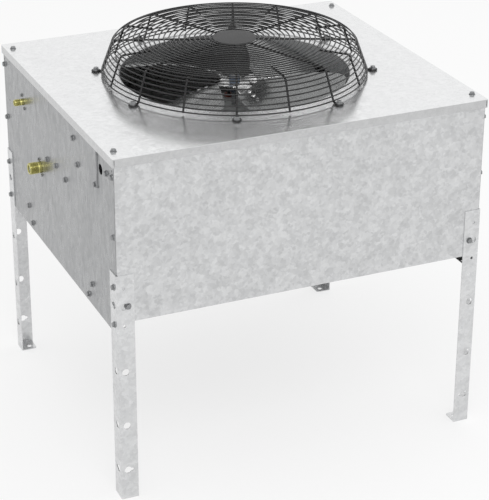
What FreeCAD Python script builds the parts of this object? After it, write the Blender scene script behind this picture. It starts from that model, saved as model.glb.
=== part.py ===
import FreeCAD, Part
import Sketcher
import math
import os
import re

os.makedirs("parts", exist_ok=True)
doc = FreeCAD.newDocument("remote_condenser")
Vector = FreeCAD.Vector
Rotation = FreeCAD.Rotation
Placement = FreeCAD.Placement

# Driving sizes, in millimetres and degrees. The origin is on the floor, midway between the
# four feet: X runs right along the long front panel, Y to the back, Z up.
sizes = {
    # casing
    "body_length": 840, "body_depth": 748, "lid_top": 783, "lid_overhang": 3, "lid_flange": 18.5,
    "panel_sheet": 1.2, "front_bottom": 420, "side_bottom": 388, "panel_bend": 3,
    "return_flange": 25, "top_flange": 30, "bottom_flange": 20,
    "lid_screw_inset_x": 16.7, "lid_screw_inset_y": 39.9, "corner_slit": 1.2,
    "corner_screw_inset": 11, "corner_screw_low": 610, "corner_screw_high": 740,
    "corner_spot_rise": 13, "corner_spot_radius": 2.4,
    # legs
    "leg_width": 38.1, "leg_sheet": 2, "leg_top": 528, "leg_bend": 3, "leg_hole_line": 15.7,
    "leg_small_radius": 3.2, "leg_big_radius": 7.75, "key_slot_radius": 3.6, "key_slot_reach": 8.8,
    "leg_hole_a": 498, "leg_key_a": 457, "leg_hole_b": 413, "leg_hole_c": 305.5,
    "leg_hole_d": 178, "leg_key_b": 70, "foot_length": 37, "foot_hole_radius": 5.55,
    "foot_hole_x": 22.5, "foot_hole_y": 23.8, "foot_corner": 6,
    # screws
    "screw_shank": 2.75, "screw_head": 5, "screw_washer": 7.2, "screw_washer_height": 1.3,
    "screw_head_height": 4.2, "screw_length": 11, "screw_clearance": 0.05,
    "small_washer": 4.4, "small_head": 3, "small_shank": 1.6, "small_length": 8,
    # fan opening and fan
    "orifice_radius": 254.5, "orifice_depth": 50, "orifice_sheet": 1.2, "orifice_flange": 26,
    "orifice_fit": 0.3, "fan_radius": 249, "blade_sheet": 1.6, "blade_root": 58,
    "blade_middle_z": 757, "blade_pitch_root": 26, "blade_pitch_tip": 17, "blade_camber": 0.0008,
    "blade_sweep": 31, "first_blade": 5, "blade_count": 4, "blade_corner": 26,
    "spider_sheet": 2.5, "spider_radius": 34,
    "spider_reach": 118, "spider_arm": 30, "hub_radius": 12.3, "hub_bottom": 736, "hub_top": 772,
    "rivet_radius": 2.4, "rivet_head": 4.6, "rivet_head_height": 1.6,
    "rivet_first": 70, "rivet_pitch": 18, "rivet_seat": 0.1, "set_screw_radius": 3, "set_screw_z": 765,
    # guard
    "guard_foot_radius": 306, "guard_eye_radius": 8, "guard_base_radius": 291.1,
    "guard_shoulder_radius": 265.3, "top_ring_inset": 9.8, "guard_height": 79, "guard_disc_radius": 48.6,
    "guard_disc_sheet": 1.5, "rib_wire": 4.5, "ring_wire": 3, "weld_depth": 0.3,
    "rib_bend": 14, "foot_bend": 6, "rib_count": 8, "first_rib": 22.5, "side_ring_pitch": 11.2,
    "side_ring_count": 7, "first_side_ring": 7, "top_ring_count": 19, "short_rib_reach": 197,
    "rib_start": 24,
    # motor and its rails
    "rail_y": 62.3, "rail_width": 48, "rail_height": 25, "rail_top": 629, "rail_sheet": 1.5,
    "motor_radius": 71.5, "motor_height": 77, "motor_sheet": 1.5, "bell_height": 13,
    "bell_wall": 2.5, "bearing_radius": 11, "bearing_length": 14, "boss_wall": 4,
    "shaft_radius": 6.35, "shaft_end_gap": 0.3, "running_clearance": 0.05,
    "stator_inner": 40, "stator_height": 38, "rotor_gap": 0.4, "winding_inner": 43,
    "winding_outer": 60, "winding_height": 7, "bolt_circle": 64,
    "bolt_radius": 2.5, "bolt_head": 4.2, "bolt_head_height": 3.5, "bolt_nut_height": 4,
    "plug_circle": 50, "plug_angle": 81, "plug_radius": 10, "plug_bore": 5, "plug_rise": 6,
    # coil
    "coil_rail_inset": 165.7, "coil_rail_width": 56, "coil_rail_top": 454, "coil_rail_height": 60,
    "coil_rail_sheet": 2, "coil_screw_y": 12.3, "coil_screw_high": 440.5,
    "coil_screw_low": 406.5, "tube_radius": 4.76, "tube_wall": 0.8, "tube_edge": 2.75,
    "tube_row_pitch": 27.5, "tubes_per_row": 22, "coil_end_gap": 40, "end_plate_sheet": 2,
    "end_plate_foot": 18, "fin_sheet": 0.5, "fin_count": 18, "fin_depth_gap": 22,
    "fin_height": 55, "fin_lift": 3, "tube_stub": 6,
    # refrigerant couplings, seen from the left side
    "discharge_y": 116, "discharge_z": 577, "discharge_thread": 13.5, "discharge_reach": 28,
    "discharge_bore": 8.5, "discharge_line": 6.35, "discharge_ear": 18.4,
    "liquid_y": 229, "liquid_z": 693, "liquid_thread": 7.95, "liquid_reach": 21.5,
    "liquid_bore": 4.9, "liquid_line": 4.76, "liquid_ear": 15.8, "ear_angle": 57,
    "ear_radius": 5.5, "ear_sheet": 2.5, "collar_length": 6, "line_wall": 1,
    "coupling_inside": 20, "poppet_recess": 2.5, "poppet_head": 4, "poppet_clearance": 0.3,
    "poppet_travel": 4, "guide_wall": 4, "coupling_fit": 0.3, "thread_pitch": 2.2,
    "thread_depth": 0.9, "line_socket": 6,
    # electrical compartment
    "box_front_inset": 52, "box_rear_inset": 240, "box_bottom": 693, "box_top": 762, "box_depth": 58,
    "box_sheet": 1, "box_flange": 17, "box_screw_high": 736, "box_screw_low": 685,
    "box_screw_inset_a": 225.2, "box_screw_inset_b": 112.4, "box_screw_inset": 9,
    "conduit_inset": 78, "conduit_z": 731.5, "conduit_radius": 11.1,
    "lip_inset": 97.5, "lip_bottom": 682.5, "lip_top": 761, "lip_proud": 3, "lip_sheet": 1.2,
    "capacitor_radius": 20, "capacitor_length": 72, "capacitor_inset": 159, "strap_sheet": 1,
    "strap_width": 12, "lead_radius": 3.5, "bush_radius": 8, "bush_length": 7, "bush_inset": 209,
    "clip_z": 625, "clip_width": 10, "clip_sheet": 1.2, "clip_rise": 15,
    "panel_hole_inset": 37, "panel_hole_z": 660, "panel_hole_radius": 1.8,
}

sheet = doc.addObject("Spreadsheet::Sheet", "Sizes")
for row, (name, number) in enumerate(sizes.items(), start=1):
    sheet.set(f"A{row}", name)
    sheet.set(f"B{row}", str(number))
    sheet.setAlias(f"B{row}", name)
doc.recompute()


class Size:
    """A length or angle that knows its number and its formula in the sheet's own names."""

    def __init__(self, number, formula):
        self.number = float(number)
        self.formula = formula

    def __float__(self):
        return self.number

    def __add__(self, other):
        other = as_size(other)
        return Size(self.number + other.number, f"({self.formula} + {other.formula})")

    def __sub__(self, other):
        other = as_size(other)
        return Size(self.number - other.number, f"({self.formula} - {other.formula})")

    def __mul__(self, other):
        other = as_size(other)
        return Size(self.number * other.number, f"({self.formula} * {other.formula})")

    def __truediv__(self, other):
        other = as_size(other)
        return Size(self.number / other.number, f"({self.formula} / {other.formula})")

    def __radd__(self, other):
        return as_size(other) + self

    def __rsub__(self, other):
        return as_size(other) - self

    def __rmul__(self, other):
        return as_size(other) * self

    def __neg__(self):
        return -1.0 * self


def as_size(value):
    return value if isinstance(value, Size) else Size(value, f"({float(value)})")


class Sheet:
    """The sheet's cells by name, such as s.lid_top."""


s = Sheet()
for name in sizes:
    setattr(s, name, Size(sheet.get(name), f"Sizes.{name}"))

subparts = []


# Document helpers

def bind(thing, **values):
    """Bind properties of an object to formulas in the sheet."""
    for name, value in values.items():
        thing.setExpression(name, as_size(value).formula)
    return thing


def move(thing, x=0, y=0, z=0, rotation=None):
    """Place an object, with its position bound to the sheet."""
    x, y, z = as_size(x), as_size(y), as_size(z)
    turn = rotation or Rotation()
    thing.Placement = Placement(Vector(float(x), float(y), float(z)), turn)
    bind(thing, **{"Placement.Base.x": x, "Placement.Base.y": y, "Placement.Base.z": z})
    return thing


def keep(thing, label):
    """Name a finished sub-part, which is written to its own file."""
    thing.Label = label
    subparts.append(thing)
    return thing


def new_body(name):
    return doc.addObject("PartDesign::Body", name)


def new_sketch(body, plane):
    """A sketch on one of the body's own origin planes: XY_Plane, XZ_Plane or YZ_Plane."""
    sketch = body.newObject("Sketcher::SketchObject", "Sketch")
    support = next(f for f in body.Origin.OriginFeatures if f.Role == plane)
    sketch.AttachmentSupport = (support, [""])
    sketch.MapMode = "FlatFace"
    return sketch


def pin_point(sketch, geometry, point, x, y):
    """Hold a point of the sketch at x, y from the sketch's origin."""
    for kind, value in (("DistanceX", x), ("DistanceY", y)):
        value = as_size(value)
        index = sketch.addConstraint(
            Sketcher.Constraint(kind, -1, 1, geometry, point, value.number))
        sketch.setExpression(f"Constraints[{index}]", value.formula)


def draw_outline(sketch, corners):
    """A closed outline of straight sides through the corners."""
    points = [Vector(float(x), float(y), 0) for x, y in corners]
    first = sketch.GeometryCount
    count = len(points)
    for i in range(count):
        sketch.addGeometry(Part.LineSegment(points[i], points[(i + 1) % count]), False)
    for i in range(count):
        following = first + (i + 1) % count
        sketch.addConstraint(Sketcher.Constraint("Coincident", first + i, 2, following, 1))
    for i, (x, y) in enumerate(corners):
        pin_point(sketch, first + i, 1, x, y)


def draw_circle(sketch, x, y, radius):
    radius = as_size(radius)
    circle = Part.Circle(Vector(float(x), float(y), 0), Vector(0, 0, 1), radius.number)
    index = sketch.addGeometry(circle, False)
    pin_point(sketch, index, 3, x, y)
    held = sketch.addConstraint(Sketcher.Constraint("Radius", index, radius.number))
    sketch.setExpression(f"Constraints[{held}]", radius.formula)


def rectangle(x0, y0, x1, y1):
    return [(x0, y0), (x1, y0), (x1, y1), (x0, y1)]


def pad(body, sketch, length, midplane=False, backwards=False):
    feature = body.newObject("PartDesign::Pad", "Pad")
    feature.Profile = sketch
    bind(feature, Length=length)
    feature.Midplane = midplane
    feature.Reversed = backwards
    body.Tip = feature
    return feature


def cut_through(body, sketch):
    """Cut a sketch right through the body, both ways."""
    feature = body.newObject("PartDesign::Pocket", "Pocket")
    feature.Profile = sketch
    feature.Type = "ThroughAll"
    feature.Midplane = True
    body.Tip = feature
    return feature


def cut_depth(body, sketch, depth, backwards=False):
    feature = body.newObject("PartDesign::Pocket", "Pocket")
    feature.Profile = sketch
    bind(feature, Length=depth)
    feature.Reversed = backwards
    body.Tip = feature
    return feature


def upright_edges(shape, test):
    """Names of the upright edges whose two ends both pass the test."""
    names = []
    for number, edge in enumerate(shape.Edges, start=1):
        ends = [v.Point for v in edge.Vertexes]
        if len(ends) == 2 and near(ends[0].x, ends[1].x) and near(ends[0].y, ends[1].y):
            if all(test(end) for end in ends):
                names.append(f"Edge{number}")
    return names


def fillet(body, radius, test):
    """Round the edges of the body's last feature whose ends pass the test."""
    doc.recompute()
    base = body.Tip
    feature = body.newObject("PartDesign::Fillet", "Fillet")
    feature.Base = (base, upright_edges(base.Shape, test))
    bind(feature, Radius=radius)
    body.Tip = feature
    return feature


def near(value, target):
    return abs(value - float(target)) < 0.01


def cylinder(radius, height, x=0, y=0, z=0, rotation=None):
    return move(bind(doc.addObject("Part::Cylinder", "Cylinder"), Radius=radius, Height=height),
                x, y, z, rotation)


def prism(width_across_flats, height, x=0, y=0, z=0, rotation=None):
    """A hexagon of the given width across its flats."""
    made = doc.addObject("Part::Prism", "Prism")
    made.Polygon = 6
    bind(made, Circumradius=as_size(width_across_flats) / math.sqrt(3), Height=height)
    return move(made, x, y, z, rotation)


def block(x0, y0, z0, x1, y1, z1):
    made = doc.addObject("Part::Box", "Box")
    bind(made, Length=as_size(x1) - x0, Width=as_size(y1) - y0, Height=as_size(z1) - z0)
    return move(made, x0, y0, z0)


def join(*things):
    made = doc.addObject("Part::MultiFuse", "Fusion")
    made.Shapes = list(things)
    return made


def cut(base, *tools):
    """The base less the tools."""
    made = doc.addObject("Part::Cut", "Cut")
    made.Base = base
    made.Tool = tools[0] if len(tools) == 1 else join(*tools)
    return made


def group(label, things):
    """Separate solids that share one node."""
    made = doc.addObject("Part::Compound", "Compound")
    made.Links = things
    return keep(made, label)


def copies(master, places):
    """Linked copies of a master, each at (x, y, z, rotation)."""
    made = []
    for x, y, z, rotation in places:
        link = doc.addObject("App::Link", "Link")
        link.LinkedObject = master
        made.append(move(link, x, y, z, rotation))
    return made


def feature_of(shape, label):
    """A sub-part whose shape is made with Part's own functions."""
    made = doc.addObject("Part::Feature", label)
    made.Shape = shape
    return keep(made, label)


def ring_section(r0, z0, r1, z1):
    """A ring about Z with a rectangular section."""
    outer = cylinder(r1, as_size(z1) - z0, z=z0)
    inner = cylinder(r0, as_size(z1) - z0 + 2, z=as_size(z0) - 1)
    return cut(outer, inner)


# Wire and tube helpers

def bent_wire(points, radii):
    """Straight runs through the points, joined by tangent arcs of the given radii."""
    points = [Vector(*p) for p in points]
    edges = []
    start = points[0]
    for before, corner, after, radius in zip(points, points[1:], points[2:], radii):
        back = (before - corner).normalize()
        ahead = (after - corner).normalize()
        half = back.getAngle(ahead) / 2
        reach = radius / math.tan(half)
        first = corner + back * reach
        last = corner + ahead * reach
        inward = (back + ahead).normalize()
        middle = corner + inward * (radius / math.sin(half) - radius)
        edges.append(Part.LineSegment(start, first).toShape())
        edges.append(Part.Arc(first, middle, last).toShape())
        start = last
    edges.append(Part.LineSegment(start, points[-1]).toShape())
    return Part.Wire(edges)


def rod_along(wire, radius):
    """A round rod along a wire."""
    first = wire.Edges[0]
    start = first.valueAt(first.FirstParameter)
    direction = first.tangentAt(first.FirstParameter)
    profile = Part.Wire([Part.Circle(start, direction, radius).toShape()])
    return wire.makePipeShell([profile], True, False)


def tube_along(wire, radius, wall):
    return rod_along(wire, radius).cut(rod_along(wire, radius - wall))


def turned(shape, degrees):
    """A copy of the shape turned about the fan's axis."""
    copy = shape.copy()
    copy.rotate(Vector(0, 0, 0), Vector(0, 0, 1), degrees)
    return copy


# Turns that point a screw's head outwards along each direction
face_up = Rotation()
face_left = Rotation(Vector(0, 0, 1), Vector(-1, 0, 0))
face_right = Rotation(Vector(0, 0, 1), Vector(1, 0, 0))
face_front = Rotation(Vector(0, 0, 1), Vector(0, -1, 0))
face_rear = Rotation(Vector(0, 0, 1), Vector(0, 1, 0))
side_turn = {-1: face_left, 1: face_right}
end_turn = {-1: face_front, 1: face_rear}

half_length = s.body_length / 2
half_depth = s.body_depth / 2
lid_under = s.lid_top - s.panel_sheet
box_front_y = s.box_front_inset - half_depth
box_rear_y = s.box_rear_inset - half_depth
conduit_y = s.conduit_inset - half_depth
lip_y = s.lip_inset - half_depth
capacitor_y = s.capacitor_inset - half_depth
bush_y = s.bush_inset - half_depth
panel_hole_y = half_depth - s.panel_hole_inset
coil_rail_y = half_depth - s.coil_rail_inset
coil_half_length = half_length - s.coil_end_gap
fin_half_depth = half_depth - s.fin_depth_gap
tube_pitch = (fin_half_depth - s.tube_edge) * 2 / s.tubes_per_row
screw_hole = s.screw_shank + s.screw_clearance
small_hole = s.small_shank + s.screw_clearance


def washer_head_screw(washer, head, shank, length, washer_height, head_height):
    """A hexagon washer-head screw, its seat at z 0 and its head up."""
    return join(cylinder(washer, washer_height),
                prism(head * 2, head_height, z=washer_height),
                cylinder(shank, length, z=-length))


screw = washer_head_screw(s.screw_washer, s.screw_head, s.screw_shank, s.screw_length,
                          s.screw_washer_height, s.screw_head_height)
small_screw = washer_head_screw(s.small_washer, s.small_head, s.small_shank, s.small_length,
                                s.screw_washer_height * 0.6, s.screw_head_height * 0.6)


# Casing

def make_top_panel():
    """The lid: a flat sheet with a turned-down flange and the round fan opening."""
    half_x = half_length + s.lid_overhang
    half_y = half_depth + s.lid_overhang
    body = new_body("TopPanel")
    outline = new_sketch(body, "XY_Plane")
    draw_outline(outline, rectangle(-half_x, -half_y, half_x, half_y))
    pad(body, outline, s.lid_flange)
    hollow = new_sketch(body, "XY_Plane")
    wall = s.panel_sheet
    draw_outline(hollow, rectangle(wall - half_x, wall - half_y, half_x - wall, half_y - wall))
    cut_depth(body, hollow, s.lid_flange - s.panel_sheet, backwards=True)
    slits = new_sketch(body, "XY_Plane")
    for sx in (-1, 1):
        for sy in (-1, 1):
            x0 = sx * (half_x - s.panel_bend - s.corner_slit)
            x1 = sx * (half_x - s.panel_bend)
            y0 = sy * (half_y - s.panel_sheet * 1.5)
            y1 = sy * (half_y + 1)
            draw_outline(slits, rectangle(x0, y0, x1, y1))
    cut_depth(body, slits, s.lid_flange - s.panel_sheet * 2, backwards=True)
    openings = new_sketch(body, "XY_Plane")
    draw_circle(openings, 0, 0, s.orifice_radius + s.orifice_sheet + s.orifice_fit)
    for sx, sy in ((-1, -1), (1, -1), (1, 1), (-1, 1)):
        draw_circle(openings, sx * (half_x - s.lid_screw_inset_x),
                    sy * (half_y - s.lid_screw_inset_y), screw_hole)
    for x, y in guard_feet():
        draw_circle(openings, x, y, screw_hole)
    cut_through(body, openings)
    fillet(body, s.panel_bend * 0.8, lambda p: near(abs(p.x), half_x) and near(abs(p.y), half_y))
    keep(move(body, z=s.lid_top - s.lid_flange), "top_panel")


def guard_feet():
    """Plan position of each guard foot."""
    places = []
    for i in range(int(float(s.rib_count))):
        angle = math.radians(float(s.first_rib) + 360 * i / float(s.rib_count))
        places.append((s.guard_foot_radius * math.cos(angle), s.guard_foot_radius * math.sin(angle)))
    return places


def make_end_panel(side, label):
    """Front (-1) or rear (1) panel: a sheet whose ends are bent back behind the side panels."""
    body = new_body("EndPanel")
    profile = new_sketch(body, "XY_Plane")
    x1 = half_length - s.panel_sheet
    x0 = x1 - s.panel_sheet
    outer = side * half_depth
    inner = side * (half_depth - s.panel_sheet)
    end = side * (half_depth - s.return_flange)
    draw_outline(profile, [(-x1, outer), (x1, outer), (x1, end), (x0, end), (x0, inner),
                           (-x0, inner), (-x0, end), (-x1, end)])
    pad(body, profile, lid_under - s.panel_sheet - s.front_bottom)
    fillet(body, s.panel_bend, lambda p: near(abs(p.x), x1) and near(p.y, outer))
    face_holes = new_sketch(body, "XZ_Plane")
    for sx in (-1, 1):
        reach = s.leg_hole_line + s.key_slot_reach
        draw_circle(face_holes, sx * (half_length + s.leg_sheet - reach),
                    s.leg_key_a - s.front_bottom, screw_hole)
    cut_through(body, face_holes)
    end_holes = new_sketch(body, "YZ_Plane")
    y = side * (half_depth - s.corner_screw_inset)
    for z in (s.corner_screw_low, s.corner_screw_high):
        draw_circle(end_holes, y, z - s.front_bottom, screw_hole)
    draw_circle(end_holes, side * (half_depth + s.leg_sheet - s.leg_hole_line),
                s.leg_hole_a - s.front_bottom, screw_hole)
    cut_through(body, end_holes)
    keep(move(body, z=s.front_bottom), label)


def side_screw_places():
    """Screws on both side panels as (y, z): corners, leg flanges, motor rails, coil rails."""
    corners = [(sy * (half_depth - s.corner_screw_inset), z)
               for sy in (-1, 1) for z in (s.corner_screw_low, s.corner_screw_high)]
    legs = [(sy * (half_depth + s.leg_sheet - s.leg_hole_line), z)
            for sy in (-1, 1) for z in (s.leg_hole_a, s.leg_hole_b)]
    rails = [(sy * s.rail_y, s.rail_top - s.rail_height / 2) for sy in (-1, 1)]
    coil = [(sy * (coil_rail_y + s.coil_screw_y), s.coil_screw_high) for sy in (-1, 1)]
    coil += [(sy * (coil_rail_y - s.coil_screw_y), s.coil_screw_low) for sy in (-1, 1)]
    return corners, legs, rails, coil


def box_screw_places():
    """Screws of the electrical compartment as (y, z)."""
    return [(box_front_y - s.box_screw_inset, s.box_screw_high),
            (box_rear_y + s.box_screw_inset, s.box_screw_high),
            (s.box_screw_inset_a - half_depth, s.box_screw_low),
            (s.box_screw_inset_b - half_depth, s.box_screw_low)]


def ear_places(y, z, reach):
    """The two small screws beside a coupling as (y, z)."""
    dy = math.cos(math.radians(float(s.ear_angle)))
    dz = math.sin(math.radians(float(s.ear_angle)))
    return [(y + reach * dy, z + reach * dz), (y - reach * dy, z - reach * dz)]


def make_side_panel(side, label):
    """Left (-1) or right (1) panel: a sheet with inward flanges under the lid and at its foot."""
    body = new_body("SidePanel")
    profile = new_sketch(body, "XZ_Plane")
    outer = side * half_length
    inner = side * (half_length - s.panel_sheet)
    top = lid_under - s.side_bottom
    draw_outline(profile, [
        (outer, 0), (outer, top), (side * (half_length - s.top_flange), top),
        (side * (half_length - s.top_flange), top - s.panel_sheet), (inner, top - s.panel_sheet),
        (inner, s.panel_sheet), (side * (half_length - s.bottom_flange), s.panel_sheet),
        (side * (half_length - s.bottom_flange), 0)])
    pad(body, profile, s.body_depth - s.panel_bend * 2, midplane=True)
    corners, legs, rails, coil = side_screw_places()
    holes = new_sketch(body, "YZ_Plane")
    for y, z in corners + legs + rails + coil:
        draw_circle(holes, y, z - s.side_bottom, screw_hole)
    for y, z in corners:
        if z is s.corner_screw_high:
            draw_circle(holes, y, z + s.corner_spot_rise - s.side_bottom, s.corner_spot_radius)
    if side < 0:
        for y, z in box_screw_places() + [(as_size(0), s.clip_z)]:
            draw_circle(holes, y, z - s.side_bottom, screw_hole)
        for y, z in (ear_places(s.discharge_y, s.discharge_z, s.discharge_ear)
                     + ear_places(s.liquid_y, s.liquid_z, s.liquid_ear)):
            draw_circle(holes, y, z - s.side_bottom, small_hole)
        draw_circle(holes, s.discharge_y, s.discharge_z - s.side_bottom,
                    s.discharge_thread + s.coupling_fit)
        draw_circle(holes, s.liquid_y, s.liquid_z - s.side_bottom,
                    s.liquid_thread + s.coupling_fit)
        draw_circle(holes, conduit_y, s.conduit_z - s.side_bottom, s.conduit_radius)
        draw_circle(holes, panel_hole_y, s.panel_hole_z - s.side_bottom, s.panel_hole_radius)
    cut_through(body, holes)
    lid_holes = new_sketch(body, "XY_Plane")
    for sy in (-1, 1):
        draw_circle(lid_holes, side * (half_length + s.lid_overhang - s.lid_screw_inset_x),
                    sy * (half_depth + s.lid_overhang - s.lid_screw_inset_y), screw_hole)
    cut_through(body, lid_holes)
    if side < 0:
        lip = new_sketch(body, "YZ_Plane")
        draw_outline(lip, rectangle(lip_y, s.lip_bottom - s.side_bottom,
                                    lip_y + s.lip_sheet, s.lip_top - s.side_bottom))
        lip.AttachmentOffset = Placement(Vector(0, 0, -float(half_length)), Rotation())
        lip.setExpression("AttachmentOffset.Base.z", (-half_length).formula)
        pad(body, lip, s.lip_proud, backwards=True)
    keep(move(body, z=s.side_bottom), label)


# Legs

def make_leg(sx, sy, label):
    """An angle leg outside the casing's corner, its foot tab bent inwards from the side flange."""
    body = new_body("Leg")
    wide, wall = s.leg_width, s.leg_sheet
    corner_x, corner_y = half_length + wall, half_depth + wall

    def across(distance):
        return sx * (corner_x - distance)

    def along(distance):
        return sy * (corner_y - distance)

    profile = new_sketch(body, "XY_Plane")
    draw_outline(profile, [(across(0), along(0)), (across(wide), along(0)),
                           (across(wide), along(wall)), (across(wall), along(wall)),
                           (across(wall), along(wide)), (across(0), along(wide))])
    pad(body, profile, s.leg_top)
    fillet(body, s.leg_bend, lambda p: near(p.x, across(0)) and near(p.y, along(0)))
    tab = new_sketch(body, "XY_Plane")
    draw_outline(tab, rectangle(across(wall), along(wall), across(s.foot_length), along(wide)))
    pad(body, tab, wall)
    fillet(body, s.foot_corner, lambda p: near(p.x, across(s.foot_length))
           and near(p.y, along(wide)))
    foot_hole = new_sketch(body, "XY_Plane")
    draw_circle(foot_hole, across(s.foot_hole_x), along(s.foot_hole_y), s.foot_hole_radius)
    cut_through(body, foot_hole)
    for plane, position in (("XZ_Plane", across), ("YZ_Plane", along)):
        holes = new_sketch(body, plane)
        for z in (s.leg_hole_a, s.leg_hole_b):
            draw_circle(holes, position(s.leg_hole_line), z, s.leg_small_radius)
        for z in (s.leg_key_a, s.leg_hole_c, s.leg_hole_d, s.leg_key_b):
            draw_circle(holes, position(s.leg_hole_line), z, s.leg_big_radius)
        cut_through(body, holes)
        slots = new_sketch(body, plane)
        start, end = s.leg_hole_line, s.leg_hole_line + s.key_slot_reach
        for z in (s.leg_key_a, s.leg_key_b):
            draw_outline(slots, rectangle(position(start), z - s.key_slot_radius,
                                          position(end), z + s.key_slot_radius))
        cut_through(body, slots)
        ends = new_sketch(body, plane)
        for z in (s.leg_key_a, s.leg_key_b):
            draw_circle(ends, position(end), z, s.key_slot_radius)
        cut_through(body, ends)
    keep(body, label)


def make_casing_screws():
    """All the screws that hold the casing, its rails, legs, tray and lid together."""
    corners, legs, rails, coil = side_screw_places()
    half_x = half_length + s.lid_overhang - s.lid_screw_inset_x
    half_y = half_depth + s.lid_overhang - s.lid_screw_inset_y
    leg_face = half_length + s.leg_sheet
    leg_x = leg_face - s.leg_hole_line - s.key_slot_reach
    coil_x = coil_half_length + s.end_plate_foot / 2
    places = [(-half_length, y, z, face_left) for y, z in box_screw_places()]
    places.append((-half_length, 0, s.clip_z, face_left))
    for sx in (-1, 1):
        places += [(sx * half_length, y, z, side_turn[sx]) for y, z in corners + rails + coil]
        places += [(sx * leg_face, y, z, side_turn[sx]) for y, z in legs]
        for sy in (-1, 1):
            places.append((sx * half_x, sy * half_y, s.lid_top, face_up))
            places.append((sx * leg_x, sy * (half_depth + s.leg_sheet), s.leg_key_a,
                           end_turn[sy]))
            places.append((sx * coil_x, sy * coil_rail_y, s.coil_rail_top + s.end_plate_sheet,
                           face_up))
    group("casing_screws", copies(screw, places))


# Fan opening and guard

def make_fan_orifice():
    """The round collar in the lid, on a flat flange welded under the lid."""
    top = lid_under
    radius = s.orifice_radius
    collar = ring_section(radius, s.lid_top - s.orifice_depth, radius + s.orifice_sheet, s.lid_top)
    flange = ring_section(radius + s.orifice_sheet / 2, top - s.orifice_sheet,
                          radius + s.orifice_flange, top)
    keep(join(collar, flange), "fan_orifice")


def guard_profile():
    """Corners of a long rib's centre line in its own upright plane, from its eye to the disc."""
    low = float(s.lid_top) + float(s.rib_wire) / 2
    high = float(s.lid_top + s.guard_height - s.guard_disc_sheet) - float(s.rib_wire) / 2
    foot = (float(s.guard_foot_radius - s.guard_eye_radius), low)
    base = (float(s.guard_base_radius), low)
    shoulder = (float(s.guard_shoulder_radius), high - 3)
    hub = (float(s.rib_start), high)
    return foot, base, shoulder, hub


def guard_side(z):
    """Radius of a rib's centre line on the guard's side at a height."""
    _, base, shoulder, _ = guard_profile()
    share = (z - base[1]) / (shoulder[1] - base[1])
    return base[0] + share * (shoulder[0] - base[0])


def guard_top(radius):
    """Height of a rib's centre line on the guard's top at a radius."""
    _, _, shoulder, hub = guard_profile()
    share = (shoulder[0] - radius) / (shoulder[0] - hub[0])
    return shoulder[1] + share * (hub[1] - shoulder[1])


def shoulder_ring(spacing):
    """Radius and height of the ring on the outside of the ribs' upper bend."""
    _, base, shoulder, hub = [Vector(x, 0, z) for x, z in guard_profile()]
    down = (base - shoulder).normalize()
    inwards = (hub - shoulder).normalize()
    middle = (down + inwards).normalize()
    bend = float(s.rib_bend)
    reach = bend / math.sin(down.getAngle(inwards) / 2) - bend - spacing
    place = shoulder + middle * reach
    return place.x, place.z


def make_guard():
    """The welded wire guard: rings outside eight long ribs and eight short ones, and a disc."""
    count = int(float(s.rib_count))
    rib, ring = float(s.rib_wire), float(s.ring_wire)
    spacing = (rib + ring) / 2 - float(s.weld_depth)
    foot, base, shoulder, hub = guard_profile()

    def upright(*corners):
        return [(x, 0, z) for x, z in corners]

    path = bent_wire(upright(foot, base, shoulder, hub), [float(s.foot_bend), float(s.rib_bend)])
    eye = Part.makeTorus(float(s.guard_eye_radius), rib / 2,
                         Vector(float(s.guard_foot_radius), 0, foot[1]))
    long_rib = rod_along(path, rib / 2).fuse(eye)
    start = float(s.first_rib)
    feature_of(Part.makeCompound([turned(long_rib, start + 360 * i / count)
                                  for i in range(count)]), "guard_long_ribs")

    low_ring_z = float(s.lid_top + s.first_side_ring)
    low = (guard_side(low_ring_z - ring), low_ring_z - ring)
    inner = (float(s.short_rib_reach), guard_top(float(s.short_rib_reach)))
    path = bent_wire(upright(low, shoulder, inner), [float(s.rib_bend)])
    short_rib = rod_along(path, rib / 2)
    feature_of(Part.makeCompound([turned(short_rib, start + 360 * (i + 0.5) / count)
                                  for i in range(count)]), "guard_short_ribs")

    rings = []
    for i in range(int(float(s.side_ring_count))):
        z = low_ring_z + i * float(s.side_ring_pitch) * (0.8 if i < 3 else 0.9)
        rings.append(Part.makeTorus(guard_side(z) + spacing, ring / 2, Vector(0, 0, z)))
    radius, z = shoulder_ring(spacing)
    rings.append(Part.makeTorus(radius, ring / 2, Vector(0, 0, z)))
    feature_of(Part.makeCompound(rings), "guard_side_rings")

    top_count = int(float(s.top_ring_count))
    outer = float(s.guard_shoulder_radius - s.top_ring_inset)
    inner = float(s.guard_disc_radius) + float(s.ring_wire) * 2
    rings = []
    for i in range(top_count):
        radius = outer + (inner - outer) * i / (top_count - 1)
        z = guard_top(radius) + spacing
        rings.append(Part.makeTorus(radius, ring / 2, Vector(0, 0, z)))
    feature_of(Part.makeCompound(rings), "guard_top_rings")

    keep(cylinder(s.guard_disc_radius, s.guard_disc_sheet,
                  z=s.lid_top + s.guard_height - s.guard_disc_sheet), "guard_hub_disc")
    seat = s.lid_top + s.rib_wire + s.screw_clearance
    group("guard_screws", copies(screw, [(x, y, seat, face_up) for x, y in guard_feet()]))


# Motor rails

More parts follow.
